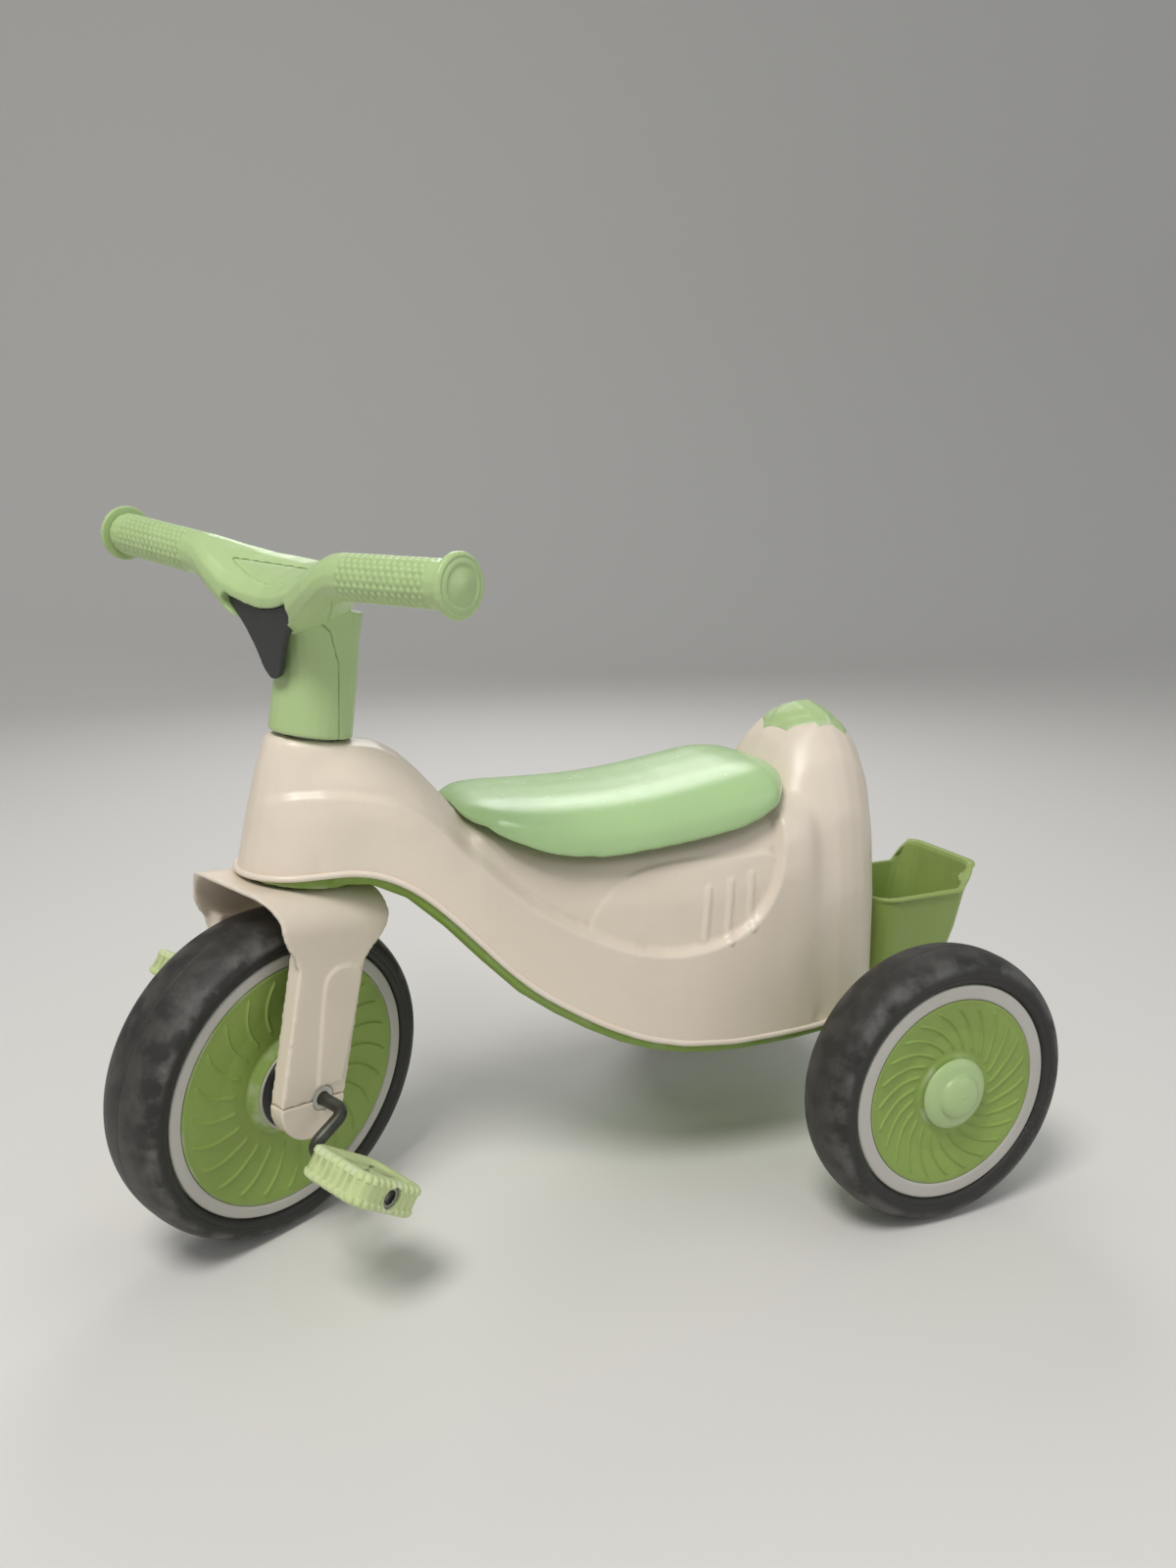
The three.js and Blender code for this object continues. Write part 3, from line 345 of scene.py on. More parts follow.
def wearGroup():
    group = bpy.data.node_groups.new("handledSurface", "ShaderNodeTree")
    for way, kinds in wearSockets.items():
        for name, kind in kinds.items():
            group.interface.new_socket(name, in_out=way, socket_type="NodeSocket" + kind)
    nodes, links = group.nodes, group.links
    entry, leave = nodes.new("NodeGroupInput"), nodes.new("NodeGroupOutput")
    where = nodes.new("ShaderNodeTexCoord").outputs["Object"]

    def noise(scale, detail, stretch=None):
        spot = where
        if stretch:
            mapping = nodes.new("ShaderNodeMapping")
            mapping.inputs["Scale"].default_value = stretch
            mapping.inputs["Rotation"].default_value = (0.4, 0.9, 0.3)
            links.new(where, mapping.inputs["Vector"])
            spot = mapping.outputs["Vector"]
        cloud = nodes.new("ShaderNodeTexNoise")
        cloud.inputs["Scale"].default_value = scale
        cloud.inputs["Detail"].default_value = detail
        links.new(spot, cloud.inputs["Vector"])
        return cloud.outputs["Fac"]

    def between(value, low, high, first=0.0, last=1.0):
        node = nodes.new("ShaderNodeMapRange")
        for socket, number in zip(("From Min", "From Max", "To Min", "To Max"), (low, high, first, last)):
            node.inputs[socket].default_value = number
        links.new(value, node.inputs["Value"])
        return node.outputs["Result"]

    def combined(operation, first, second):
        node = nodes.new("ShaderNodeMath")
        node.operation = operation
        for socket, value in zip(node.inputs, (first, second)):
            if isinstance(value, (int, float)):
                socket.default_value = value
            else:
                links.new(value, socket)
        return node.outputs[0]

    def times(first, second):
        return combined("MULTIPLY", first, second)

    def plus(first, second):
        return combined("ADD", first, second)

    def minus(first, second):
        return combined("SUBTRACT", first, second)

    def stored(name):
        node = nodes.new("ShaderNodeAttribute")
        node.attribute_name = name
        return node.outputs["Fac"]

    def mixed(amount, first, second):  # sockets 6, 7 and 2 of a mix node are the colour ones
        node = nodes.new("ShaderNodeMix")
        node.data_type = "RGBA"
        links.new(amount, node.inputs["Factor"])
        for socket, value in ((node.inputs[6], first), (node.inputs[7], second)):
            if isinstance(value, tuple):
                socket.default_value = value
            else:
                links.new(value, socket)
        return node.outputs[2]

    blotches = between(noise(18, 6), 0.5, 0.74)
    specks = between(noise(420, 4), 0.63, 0.73)
    patches = between(noise(60, 5), 0.42, 0.62)
    streaks = combined("ABSOLUTE", minus(noise(30, 3, (2, 26, 9)), 0.5), 0)
    scratches = times(between(streaks, 0.0, 0.006, 1, 0), between(noise(24, 2), 0.55, 0.62))
    crease = times(stored("hollow"), plus(patches, wearShare["creaseLeast"]))
    settled = times(stored("dust"), entry.outputs["Dust"])
    settled = times(settled, plus(patches, wearShare["dustLeast"]))
    dirt = plus(times(blotches, wearShare["blotches"]), times(specks, wearShare["specks"]))
    dirt = times(plus(dirt, crease), entry.outputs["Amount"])
    dirt = combined("MINIMUM", plus(dirt, settled), wearShare["dirtMost"])
    color = mixed(dirt, entry.outputs["Base"], entry.outputs["Grime"])
    edgeWear = times(stored("sharp"), patches)
    rubbed = times(plus(edgeWear, times(scratches, wearShare["scratches"])), wearShare["rubbed"])
    color = mixed(rubbed, color, rubbedTint)
    rough = plus(entry.outputs["Roughness"], times(dirt, wearShare["dirtRough"]))
    rough = plus(rough, times(minus(noise(90, 4), 0.5), wearShare["roughSpread"]))
    peel = times(noise(1500, 3), entry.outputs["Peel"])
    height = plus(peel, times(specks, wearShare["speckHeight"]))
    height = minus(height, times(scratches, wearShare["scratchDepth"]))
    links.new(color, leave.inputs["Color"])
    links.new(rough, leave.inputs["Roughness"])
    links.new(height, leave.inputs["Height"])
    return group


handledSurface = wearGroup()


def finishOf(name, look):
    material = bpy.data.materials.new(name)
    material.use_nodes = True
    nodes, links = material.node_tree.nodes, material.node_tree.links
    shader = nodes["Principled BSDF"]
    wear = nodes.new("ShaderNodeGroup")
    wear.node_tree = handledSurface
    for socket in ("Amount", "Roughness", "Peel", "Dust"):
        wear.inputs[socket].default_value = look[socket.lower()]
    wear.inputs["Base"].default_value = paint(*look["base"])
    wear.inputs["Grime"].default_value = paint(*look["grime"])
    bump = nodes.new("ShaderNodeBump")
    bump.inputs["Strength"].default_value = look.get("strength", 0.35)
    bump.inputs["Distance"].default_value = 0.4 * mm
    links.new(wear.outputs["Color"], shader.inputs["Base Color"])
    links.new(wear.outputs["Roughness"], shader.inputs["Roughness"])
    links.new(wear.outputs["Height"], bump.inputs["Height"])
    links.new(bump.outputs["Normal"], shader.inputs["Normal"])
    shader.inputs["Metallic"].default_value = look.get("metal", 0)
    shader.inputs["Specular IOR Level"].default_value = look.get("gloss", 0.45)
    shader.inputs["Subsurface Weight"].default_value = look.get("soft", 0)
    shader.inputs["Subsurface Radius"].default_value = (0.004, 0.003, 0.002)
    return material


looks = {
    "cream": dict(
        base=(232, 219, 202), grime=(150, 132, 108), amount=0.16, roughness=0.32,
        peel=0.5, dust=0.12, soft=0.06
    ),
    "green": dict(
        base=(178, 202, 144), grime=(112, 122, 82), amount=0.15, roughness=0.32,
        peel=0.5, dust=0.2, soft=0.06
    ),
    "seat_mint": dict(
        base=(176, 209, 150), grime=(122, 130, 100), amount=0.1, roughness=0.24,
        peel=0.45, dust=0.05, soft=0.06
    ),
    "tray_green": dict(
        base=(128, 158, 66), grime=(84, 82, 52), amount=0.3, roughness=0.46,
        peel=0.8, dust=0.3
    ),
    "disc_green": dict(
        base=(142, 168, 82), grime=(92, 92, 58), amount=0.3, roughness=0.48,
        peel=0.8, dust=0.3
    ),
    "basket_green": dict(
        base=(148, 170, 92), grime=(96, 98, 60), amount=0.22, roughness=0.42,
        peel=0.8, dust=0.25
    ),
    "pedal_green": dict(
        base=(206, 222, 160), grime=(104, 106, 66), amount=0.22, roughness=0.46,
        peel=0.8, dust=0.3
    ),
    "ring_grey": dict(
        base=(190, 187, 180), grime=(110, 100, 88), amount=0.25, roughness=0.38,
        peel=0.4, dust=0.25
    ),
    "tyre_dark": dict(
        base=(40, 39, 37), grime=(104, 101, 94), amount=0.14, roughness=0.5,
        peel=1.0, dust=0.14, strength=0.5
    ),
    "black": dict(
        base=(22, 24, 23), grime=(98, 94, 84), amount=0.15, roughness=0.36,
        peel=0.5, dust=0.2
    ),
    "trim_dark": dict(
        base=(50, 51, 52), grime=(112, 106, 96), amount=0.15, roughness=0.42,
        peel=0.8, dust=0.15
    ),
    "crank_steel": dict(
        base=(70, 72, 64), grime=(120, 104, 80), amount=0.5, roughness=0.42,
        peel=0.6, dust=0.5, metal=0.75
    ),
    "axle_steel": dict(
        base=(168, 168, 166), grime=(112, 94, 72), amount=0.5, roughness=0.36,
        peel=0.5, dust=0.5, metal=1
    ),
    "bush_white": dict(
        base=(216, 214, 204), grime=(140, 128, 108), amount=0.4, roughness=0.46,
        peel=0.6, dust=0.4,
    ),
}
finishes = {name: finishOf(name, look) for name, look in looks.items()}
print("finishes made:", len(finishes))

# body shell
bodyShell = {
    "voxel": 1.5, "rounds": 34,
    # shift of each backing copy, and the x where it starts and is whole
    "backing": [((2.2, 0, 0), -6, -26), ((0, 0, -3.2), -200, -190)],
    # where the side walls meet the backrest and the neck: x, half width of the eased band, rounds
    "joins": [(44, 22, 160), (300, 22, 120), (404, 22, 60)],
    # the recessed side under the seat and along the neck, as x, z down one edge of it
    "recess": [(455, 303), (432, 316), (395, 317), (362, 311), (341, 302), (322, 284), (303, 262),
               (285, 245), (262, 226), (221, 202), (178, 187), (136, 187), (100, 200), (82, 224),
               (74, 253), (71, 285), (70, 330)],
    "recessTop": [(70, 420), (470, 420), (470, 303)],
    "recessDepth": [(60, 8.5), (290, 8.5), (335, 3.4), (430, 3), (455, 0)],
    "edgeWidth": [(60, 7), (150, 7), (300, 11), (340, 6), (455, 6)],
    # lower edge of the shell, as x, z
    "rim": [(-38, 118), (44, 115), (115, 115), (156, 120), (187, 128.5), (216, 142), (243, 158), (265, 173),
            (284, 190), (304, 212), (323, 232), (341, 248.5), (362, 261), (384, 266.5), (460, 266.5)],
    "arch": [(229, 208), (220, 229), (201, 247), (172, 255), (124, 256), (65, 257), (65, 180), (229, 180)],
    "archStep": 1.5,
    "ribs": [((138, 196), (135, 234)), ((120, 194), (117, 237)), ((102, 202), (100, 241))],
    "ribHalf": 2.2, "ribHeight": 1.3,
    # distance from the middle where sideways shaping starts and is whole, and how it moves in at the neck
    "sideways": (26, 62), "neckShift": 28, "neckSpan": (290, 335),
}


def bodyMoulding():
    mesh = softened("body_shell", bodyShell)
    points = toLocal(readPoints(mesh), bodyPlace)
    aboveRim = points[:, 2] - np.interp(points[:, 0], *zip(*bodyShell["rim"]))
    for spot, half, rounds in bodyShell["joins"]:
        share = ramp(half, half * 0.4, np.abs(points[:, 0] - spot)) * ramp(24, 34, np.abs(points[:, 1]))
        share = share * ramp(6, 26, aboveRim)
        points = eased(mesh, points, share, rounds)
    flat = points[:, [0, 2]]
    fromMiddle = np.abs(points[:, 1]) + bodyShell["neckShift"] * ramp(*bodyShell["neckSpan"], flat[:, 0])
    sideways = np.sign(points[:, 1]) * ramp(*bodyShell["sideways"], fromMiddle)
    depth = np.interp(flat[:, 0], *zip(*bodyShell["recessDepth"]))
    width = np.interp(flat[:, 0], *zip(*bodyShell["edgeWidth"]))
    within = depthInside(flat, cornersCut(bodyShell["recess"] + bodyShell["recessTop"], 2))
    inset = depth * ramp(0, 1, within / width)
    arch = ramp(-0.5, 2.2, depthInside(flat, cornersCut(bodyShell["arch"], 2)))
    arch = arch * ramp(0.6, 1, inset / np.maximum(depth, 0.01))
    inset = inset - bodyShell["archStep"] * arch
    for rib in bodyShell["ribs"]:
        away = lineDistance(flat, rib)
        raised = ramp(bodyShell["ribHalf"] + 1, bodyShell["ribHalf"] - 1, away)
        inset = inset - bodyShell["ribHeight"] * raised
    points[:, 1] -= sideways * inset
    writePoints(mesh, toWorld(points, bodyPlace))
    dustOnTop(mesh, 0.5)
    return addPiece("body_shell_moulding", mesh, "frame", "cream", ["body_shell"])


bodyPiece = bodyMoulding()
print("body shell moulded")

# undertray, axle spacers, seat
plainForms = {
    "undertray": dict(voxel=1.5, rounds=3, body="frame", finish="tray_green"),
    "axle_spacer_left": dict(voxel=0.8, rounds=4, body="frame", finish="tray_green"),
    "axle_spacer_right": dict(voxel=0.8, rounds=4, body="frame", finish="tray_green"),
    "fork_end_cap_left": dict(voxel=0.9, rounds=5, body="steering", finish="cream"),
    "fork_end_cap_right": dict(voxel=0.9, rounds=5, body="steering", finish="cream"),
    "handlebar_rear_shell": dict(voxel=1.1, rounds=8, body="steering", finish="green"),
    "handlebar_trim": dict(voxel=0.7, rounds=6, body="steering", finish="trim_dark"),
    "seat": dict(voxel=1.4, rounds=150, body="frame", finish="seat_mint"),
}
for node, form in plainForms.items():
    mesh = softened(node, form)
    dustOnTop(mesh, 0.5)
    addPiece(node + "_moulding", mesh, form["body"], form["finish"], [node])
print("plain mouldings made:", len(plainForms))

# leaf cap on the backrest
leaf = {
    "lobes": 9, "lobeTurn": 0.6, "lobePower": 0.7, "lobeReach": 3.6, "edgeOut": 0.4, "vein": 0.15,
    "thick": 2.2, "raised": 0.2, "sunk": 0.8, "rows": 26, "columns": 216, "evenings": 3,
}


def leafCap():
    capLow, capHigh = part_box("backrest_cap")
    scene = bpy.context.evaluated_depsgraph_get()
    trees = [BVHTree.FromObject(item, scene) for item in (bodyPiece, frame["nodes"]["backrest_cap"])]
    middle = Vector(((capLow.x + capHigh.x) / 2, 0, 0))
    halfLong, halfWide = (capHigh.x - capLow.x) / 2, (capHigh.y - capLow.y) / 2
    over = capHigh.z + 0.05
    top = []
    for row in range(leaf["rows"]):
        share = (row + 1) / leaf["rows"]
        for column in range(leaf["columns"]):
            angle = 2 * math.pi * column / leaf["columns"]
            wave = abs(math.sin(leaf["lobes"] * angle / 2 + leaf["lobeTurn"]))
            lobe = 1 - wave ** leaf["lobePower"]
            reach = 1 + share ** 3 * (leaf["lobeReach"] * mm * lobe + leaf["edgeOut"] * mm) / halfWide
            x = middle.x + halfLong * share * reach * math.cos(angle)
            y = halfWide * share * reach * math.sin(angle)
            heights = [tree.ray_cast(Vector((x, y, over)), Vector((0, 0, -1)))[0] for tree in trees]
            z = max((hit.z for hit in heights if hit), default=capLow.z)
            vein = leaf["vein"] * (1 - wave) * ramp(0.25, 0.6, share)
            swell = leaf["thick"] * (1 - share ** 7) - vein
            top.append((x, y, z + (leaf["raised"] + swell) * mm))
    top = np.array(top).reshape(leaf["rows"], leaf["columns"], 3)
    for _ in range(leaf["evenings"]):
        top[1:-1, :, 2] = (top[:-2, :, 2] + top[2:, :, 2] + 2 * top[1:-1, :, 2]) / 4
    under = top[::-1].copy()
    under[:, :, 2] -= (leaf["thick"] + leaf["sunk"]) * mm
    rings = np.concatenate([top, under])
    return ringSkin((rings - bodyPlace[0]) / mm, bodyPlace)


addPiece("backrest_leaf_cap", leafCap(), "frame", "green", ["backrest_cap"])
print("leaf cap laid on the backrest")

# bead round the lower edge of the shell
rimBead = {
    "radius": 2.2, "proud": -0.1, "rear": -38, "cornerTo": -20, "sideFrom": -17, "front": 416,
    "easedFrom": 20, "easeReach": 6, "backHalf": 24,
    "half": [(-38, 28), (-34, 42), (-25, 55), (-10, 68), (10, 77), (40, 83), (75, 85), (156, 83), (216, 77),
             (265, 68), (304, 57), (341, 48), (372, 44.5), (416, 43.5)],
    "nose": (416, 39.5, 43.5),
}


def smoothThrough(pairs, values, reach):  # a table followed with its corners eased
    spots = np.linspace(-reach, reach, 7)
    return np.mean([np.interp(values + spot, *zip(*pairs)) for spot in spots], axis=0)


def beadPath():
    along = np.concatenate([np.linspace(rimBead["rear"], rimBead["cornerTo"], 14),
                            np.linspace(rimBead["sideFrom"], rimBead["front"], 150)])
    half = np.interp(along, *zip(*rimBead["half"]))
    half = np.where(along < rimBead["easedFrom"], half,
                    smoothThrough(rimBead["half"], along, rimBead["easeReach"]))
    height = smoothThrough(bodyShell["rim"], along, 9)
    left = np.stack([along, half + rimBead["proud"], height], 1)
    centre, front, side = rimBead["nose"]
    turn = np.linspace(math.pi / 2, -math.pi / 2, 40)[1:-1]
    nose = np.stack([centre + (front + rimBead["proud"]) * np.cos(turn),
                     (side + rimBead["proud"]) * np.sin(turn), 0 * turn + height[-1]], 1)
    right = left[::-1] * (1, -1, 1)
    across = np.linspace(-rimBead["backHalf"], rimBead["backHalf"], 9)
    back = np.stack([0 * across + rimBead["rear"] - rimBead["proud"], across, 0 * across + height[0]], 1)
    return cornersCut(np.vstack([left, nose, right, back]), 1)


bead = swept(beadPath(), rimBead["radius"], bodyPlace, 12, closed=True)
addPiece("body_rim_bead", bead, "frame", "cream")
print("rim bead swept")

# basket
basketForm = {"voxel": 1.0, "rounds": 5, "lipHeight": 2.6, "lipFade": 0.8, "lipOut": 1.1, "sideRim": 193}


def basketMoulding():
    mesh = softened("basket", basketForm)
    local = toLocal(readPoints(mesh), bodyPlace)
    middle = local.mean(0)
    out = local[:, :2] - middle[:2]
    out /= np.maximum(np.linalg.norm(out, axis=1), 1)[:, None]
    keepValues(mesh, "dust", ramp(basketForm["sideRim"] - 6, basketForm["sideRim"], local[:, 2]) * 0.4)
    height, fade = basketForm["lipHeight"], basketForm["lipFade"]
    lip = ramp(height + fade, height - fade, np.abs(local[:, 2] - local[:, 2].max()))
    local[:, :2] += out * (lip * basketForm["lipOut"])[:, None]
    writePoints(mesh, toWorld(local, bodyPlace))
    addPiece("basket_moulding", mesh, "frame", "basket_green", ["basket"])


basketMoulding()
print("basket moulded")

# fork
forkForm = {
    "voxel": 1.4, "rounds": 6,
    "panel": [(7, 9), (7.5, 40), (8, 75), (7, 84), (3, 89), (-3, 92), (-13, 92), (-22, 89), (-24.5, 84),
              (-21, 50), (-15, 9)],
    "panelHeight": 1.3, "panelFrom": 44,
}


def forkMoulding():
    mesh = softened("fork", forkForm)
    local = toLocal(readPoints(mesh), steerPlace)
    facing = (readNormals(mesh) @ steerPlace[1][1]) * np.sign(local[:, 1])
    inside = ramp(-1.0, 1.6, depthInside(local[:, [0, 2]], forkForm["panel"]))
    lift = inside * ramp(0.3, 0.8, facing) * (np.abs(local[:, 1]) > forkForm["panelFrom"])
    local[:, 1] += np.sign(local[:, 1]) * lift * forkForm["panelHeight"]
    writePoints(mesh, toWorld(local, steerPlace))
    dustOnTop(mesh, 0.6)
    addPiece("fork_moulding", mesh, "steering", "cream", ["fork"])


forkMoulding()
print("fork moulded")

# handlebar front shell with knurled grips, grip ends
gripForm = {
    "voxel": 1.0, "rounds": 7, "forward": 47.7, "height": 348, "inner": 70, "rise": math.radians(3.3),
    "radius": 14.6, "knurlFrom": 78, "knurlTo": 152, "knurlFade": 1.5, "knurlTurn": (1.35, 1.2),
    "scaleLong": 5.5, "scaleRound": 4.0, "scaleHeight": 0.9, "scaleBase": 0.25,
}
gripEnd = {"voxel": 0.6, "rounds": 4, "from": 165.4, "ringAt": 13.6, "ringHeight": 0.9, "bossHeight": 1.2}


def gripOffsets(local):  # distance along the grip, angle round it and radius from its axis
    along = np.abs(local[:, 1])
    height = gripForm["height"] + (along - gripForm["inner"]) * math.tan(gripForm["rise"])
    ahead, above = local[:, 0] - gripForm["forward"], local[:, 2] - height
    return along, np.arctan2(above, ahead), np.hypot(ahead, above)


def frontShell():
    mesh = softened("handlebar_front_shell", gripForm)
    local = toLocal(readPoints(mesh), steerPlace)
    along, angle, radius = gripOffsets(local)
    around = angle * gripForm["radius"] / gripForm["scaleRound"]
    row = np.floor(around)
    across = around - row - 0.5
    longways = (along / gripForm["scaleLong"] + 0.5 * (row % 2)) % 1 - 0.5
    apart = np.hypot(longways * gripForm["scaleLong"], across * gripForm["scaleRound"])
    scales = ramp(2.5, 0.7, apart) * gripForm["scaleHeight"]
    band = ramp(gripForm["knurlFrom"], gripForm["knurlFrom"] + gripForm["knurlFade"], along)
    band = band * ramp(gripForm["knurlTo"], gripForm["knurlTo"] - gripForm["knurlFade"], along)
    band = band * ramp(*gripForm["knurlTurn"], np.abs(angle)) * ramp(13, 14, radius)
    normals = readNormals(mesh)
    local += (normals @ steerPlace[1].T) * ((scales - gripForm["scaleBase"]) * band)[:, None]
    writePoints(mesh, toWorld(local, steerPlace))
    keepValues(mesh, "dust", band * ramp(1.4, 2.6, apart) * 0.9)
    addPiece("handlebar_front_shell_moulding", mesh, "steering", "green", ["handlebar_front_shell"])


def gripEndPiece(side, sign):
    mesh = softened("grip_end_" + side, gripEnd)
    local = toLocal(readPoints(mesh), steerPlace)
    along, _, radius = gripOffsets(local)
    facing = (readNormals(mesh) @ steerPlace[1][1]) * sign
    outer = ramp(0.5, 0.9, facing) * (along > gripEnd["from"])
    ridge = gripEnd["ringHeight"] * ramp(2.2, 0.8, np.abs(radius - gripEnd["ringAt"]))
    ridge = ridge + gripEnd["bossHeight"] * ramp(9.5, 2, radius)
    local[:, 1] += sign * outer * ridge
    writePoints(mesh, toWorld(local, steerPlace))
    addPiece(f"grip_end_{side}_moulding", mesh, "steering", "green", ["grip_end_" + side])


frontShell()
for side, sign in sides:
    gripEndPiece(side, sign)
print("handlebar made")

# wheels
frontWheel = {
    "tyre": 117.3, "half": 28.8, "ringIn": 88.2, "ringOut": 97.5,
    "hubRadius": 33, "hubFace": 29.7, "bore": 4.8,
    "ribFrom": 46, "ribTo": 82, "ribs": 24, "sweep": math.radians(11), "bend": 2,
}
rearWheel = {
    "tyre": 100.9, "half": 23.9, "ringIn": 68.9, "ringOut": 80.1,
    "hubRadius": 24, "hubFace": 20.7, "bore": 9.3,
    "ribFrom": 32, "ribTo": 64, "ribs": 24, "sweep": math.radians(-30), "bend": 1,
}
wheelDetail = {
    "ringSetback": 2.6, "ringThick": 3, "tyreWall": 6, "discWall": 3.4, "gap": 0.3, "ribHalf": 1.6,
    "ribHeight": 1.3, "samples": (-2.6, -1.7, -1.1, -0.5, 0, 0.5, 1.1, 1.7, 2.6), "between": 4,
    "webPoints": 46,
}


def fromAxle(mesh, place):
    local = toLocal(readPoints(mesh), place)
    return np.hypot(local[:, 0], local[:, 2])


def tyreMesh(size, place):
    radius, half, wall = size["tyre"], size["half"], wheelDetail["tyreWall"]
    bead = size["ringOut"] + wheelDetail["gap"]
    outer = [(bead, half - 4.5), (bead + 1.2, half - 2.2), (bead + 3.5, half - 0.9), (bead + 5, half - 1.2),
             (bead + 6, half - 0.3), ((bead + radius) / 2 + 2, half), (radius - 3.4, half * 0.78),
             (radius - 0.8, half * 0.46), (radius, half * 0.2), (radius, 0.9), (radius - 0.3, 0.4)]
    other = [(r, -y) for r, y in reversed(outer)]
    floor = radius - wall
    channel = [(bead, wall + 4 - half), (floor, -half * 0.5), (floor, half * 0.5), (bead, half - wall - 4)]
    rim = cornersCut(outer + other, 2, closed=False)
    mesh = turned(np.vstack([rim, channel]), place)
    keepValues(mesh, "dust", ramp(radius - 7, radius - 1, fromAxle(mesh, place)))
    return mesh


def ringMesh(size, place, sign):
    face = size["half"] - wheelDetail["ringSetback"]
    back = face - wheelDetail["ringThick"] + wheelDetail["gap"]
    inner, outer = size["ringIn"] + wheelDetail["gap"], size["ringOut"] - wheelDetail["gap"]
    profile = [(inner, back), (inner, face - 0.8), (inner + 0.8, face), (inner + 2, face + 0.25),
               (outer - 2, face + 0.25), (outer - 0.8, face), (outer, face - 0.8), (outer, back)]
    return turned(cornersCut(profile, 2), place, sign)


def discProfile(size):
    gap, wall = wheelDetail["gap"], wheelDetail["discWall"]
    face = size["half"] - wheelDetail["ringSetback"]
    back, dish, waist = face - wheelDetail["ringThick"], face - 3.4, size["ringIn"] * 0.66
    bore, hub, hubFace = size["bore"], size["hubRadius"], size["hubFace"]
    web = np.linspace(hub + 5, size["ringIn"] - 1.2, wheelDetail["webPoints"])
    webRise = np.interp(web, [hub + 5, waist, size["ringIn"]], [dish + 0.6, dish, face])
    ringIn, ringOut = size["ringIn"], size["ringOut"]
    outer = [(bore, hubFace), (hub - 0.8, hubFace), (hub, hubFace - 0.6), (hub + 3.4, dish + 1.6),
             *zip(web, webRise), (ringIn, face - 0.6), (ringIn, back), (ringOut, back)]
    inner = [(ringOut, gap), (ringOut - wall, gap), (ringOut - wall, back - wall),
             (bore + wall, dish - wall - 1), (bore + wall, gap), (bore, gap)]
    return np.array(outer + inner, float), len(outer)


def discMesh(size, place, sign):
    # a moulded half wheel; its raised curved ribs follow the web, and the mesh lines follow the ribs
    profile, outerCount = discProfile(size)
    radius = profile[:, 0]
    step = 2 * math.pi / size["ribs"]
    share = np.clip((radius - size["ribFrom"]) / (size["ribTo"] - size["ribFrom"]), 0, 1)
    sweep = size["sweep"] * share ** size["bend"]
    samples = np.array(wheelDetail["samples"])
    shrink = np.minimum(1, radius * step / 7)[:, None]
    close = samples[None] * shrink
    free = np.linspace(0, 1, wheelDetail["between"] + 2)[1:-1]
    rest = samples[-1] * shrink + free[None] * (radius[:, None] * step - 2 * samples[-1] * shrink)
    offsets = np.hstack([close, rest])
    turn = offsets / radius[:, None]
    angles = np.hstack([k * step + turn + sweep[:, None] for k in range(size["ribs"])])
    crest = 0.5 + 0.5 * np.cos(math.pi * np.clip(np.abs(close) / wheelDetail["ribHalf"], 0, 1))
    shape = np.hstack([crest, 0 * rest])
    ends = ramp(size["ribFrom"] - 0.4, size["ribFrom"] + 1.6, radius)
    ends = ends * ramp(size["ribTo"] + 0.4, size["ribTo"] - 1.6, radius)
    ends[outerCount:] = 0
    lift = np.tile(shape * ends[:, None], (1, size["ribs"])) * wheelDetail["ribHeight"]
    return turned(profile, place, sign, angles=angles, lift=lift)


def wheelPieces(tyreNode, size, place, body, halves):
    addPiece(tyreNode + "_ring", tyreMesh(size, place), body, "tyre_dark", [tyreNode])
    for node, ringNode, sign in halves:
        disc = discMesh(size, place, sign)
        rimDust = ramp(size["ringIn"] - 8, size["ringIn"] - 1, fromAxle(disc, place))
        keepValues(disc, "dust", 0.5 * rimDust)
        addPiece(node + "_moulding", disc, body, "disc_green", [node], crisp=50)
        if ringNode:
            addPiece(ringNode + "_band", ringMesh(size, place, sign), body, "ring_grey", [ringNode])


wheelPieces("front_tyre", frontWheel, steerPlace, "front_wheel",
            [(f"front_wheel_{side}", f"front_trim_ring_{side}", sign) for side, sign in sides])
for side, sign in sides:
    wheelPieces("rear_tyre_" + side, rearWheel, rearPlaces[side], "rear_wheel_" + side,
                [("rear_wheel_outer_" + side, "rear_trim_ring_" + side, sign),
                 ("rear_wheel_inner_" + side, None, -sign)])
print("wheels made")

# hubs
frontHub = {"at": 30.0, "radius": 30, "depth": 6.6, "bore": 4.8, "band": 2.4, "bandDepth": 1.6,
            "steps": 120}
rearCap = {"radius": 26, "height": 12.6, "at": 21.0, "steps": 120}


def frontHubPieces(side, sign):
    at, radius, bore, bandTop = frontHub["at"], frontHub["radius"], frontHub["bore"], frontHub["bandDepth"]
    top = at + frontHub["depth"]
    cone = [(bore, at), (radius, at), (radius, at + 2.2), (radius - 1.2, at + 3.2), (radius - 5, top - 0.8),
            (radius - 7, top), (19, top), (18, top - 0.9), (16.6, top - 0.9), (15.6, top),
            (bore + 4.5, top), (bore + 3.6, top + 1), (bore, top + 1)]
    coneMesh = turned(cornersCut(cone, 2), steerPlace, sign, frontHub["steps"])
    addPiece(f"front_hub_{side}_cone", coneMesh, "front_wheel", "black", ["front_hub_" + side])
    inner, outer = radius + 0.3, radius + frontHub["band"]
    band = [(inner, at), (inner, at + 1.2), (inner + 0.5, at + bandTop), (outer - 0.5, at + bandTop),
            (outer, at + 1.2), (outer, at)]
    ring = turned(cornersCut(band, 2), steerPlace, sign, frontHub["steps"])
    addPiece(f"front_hub_band_{side}_ring", ring, "front_wheel", "ring_grey", ["front_hub_band_" + side])


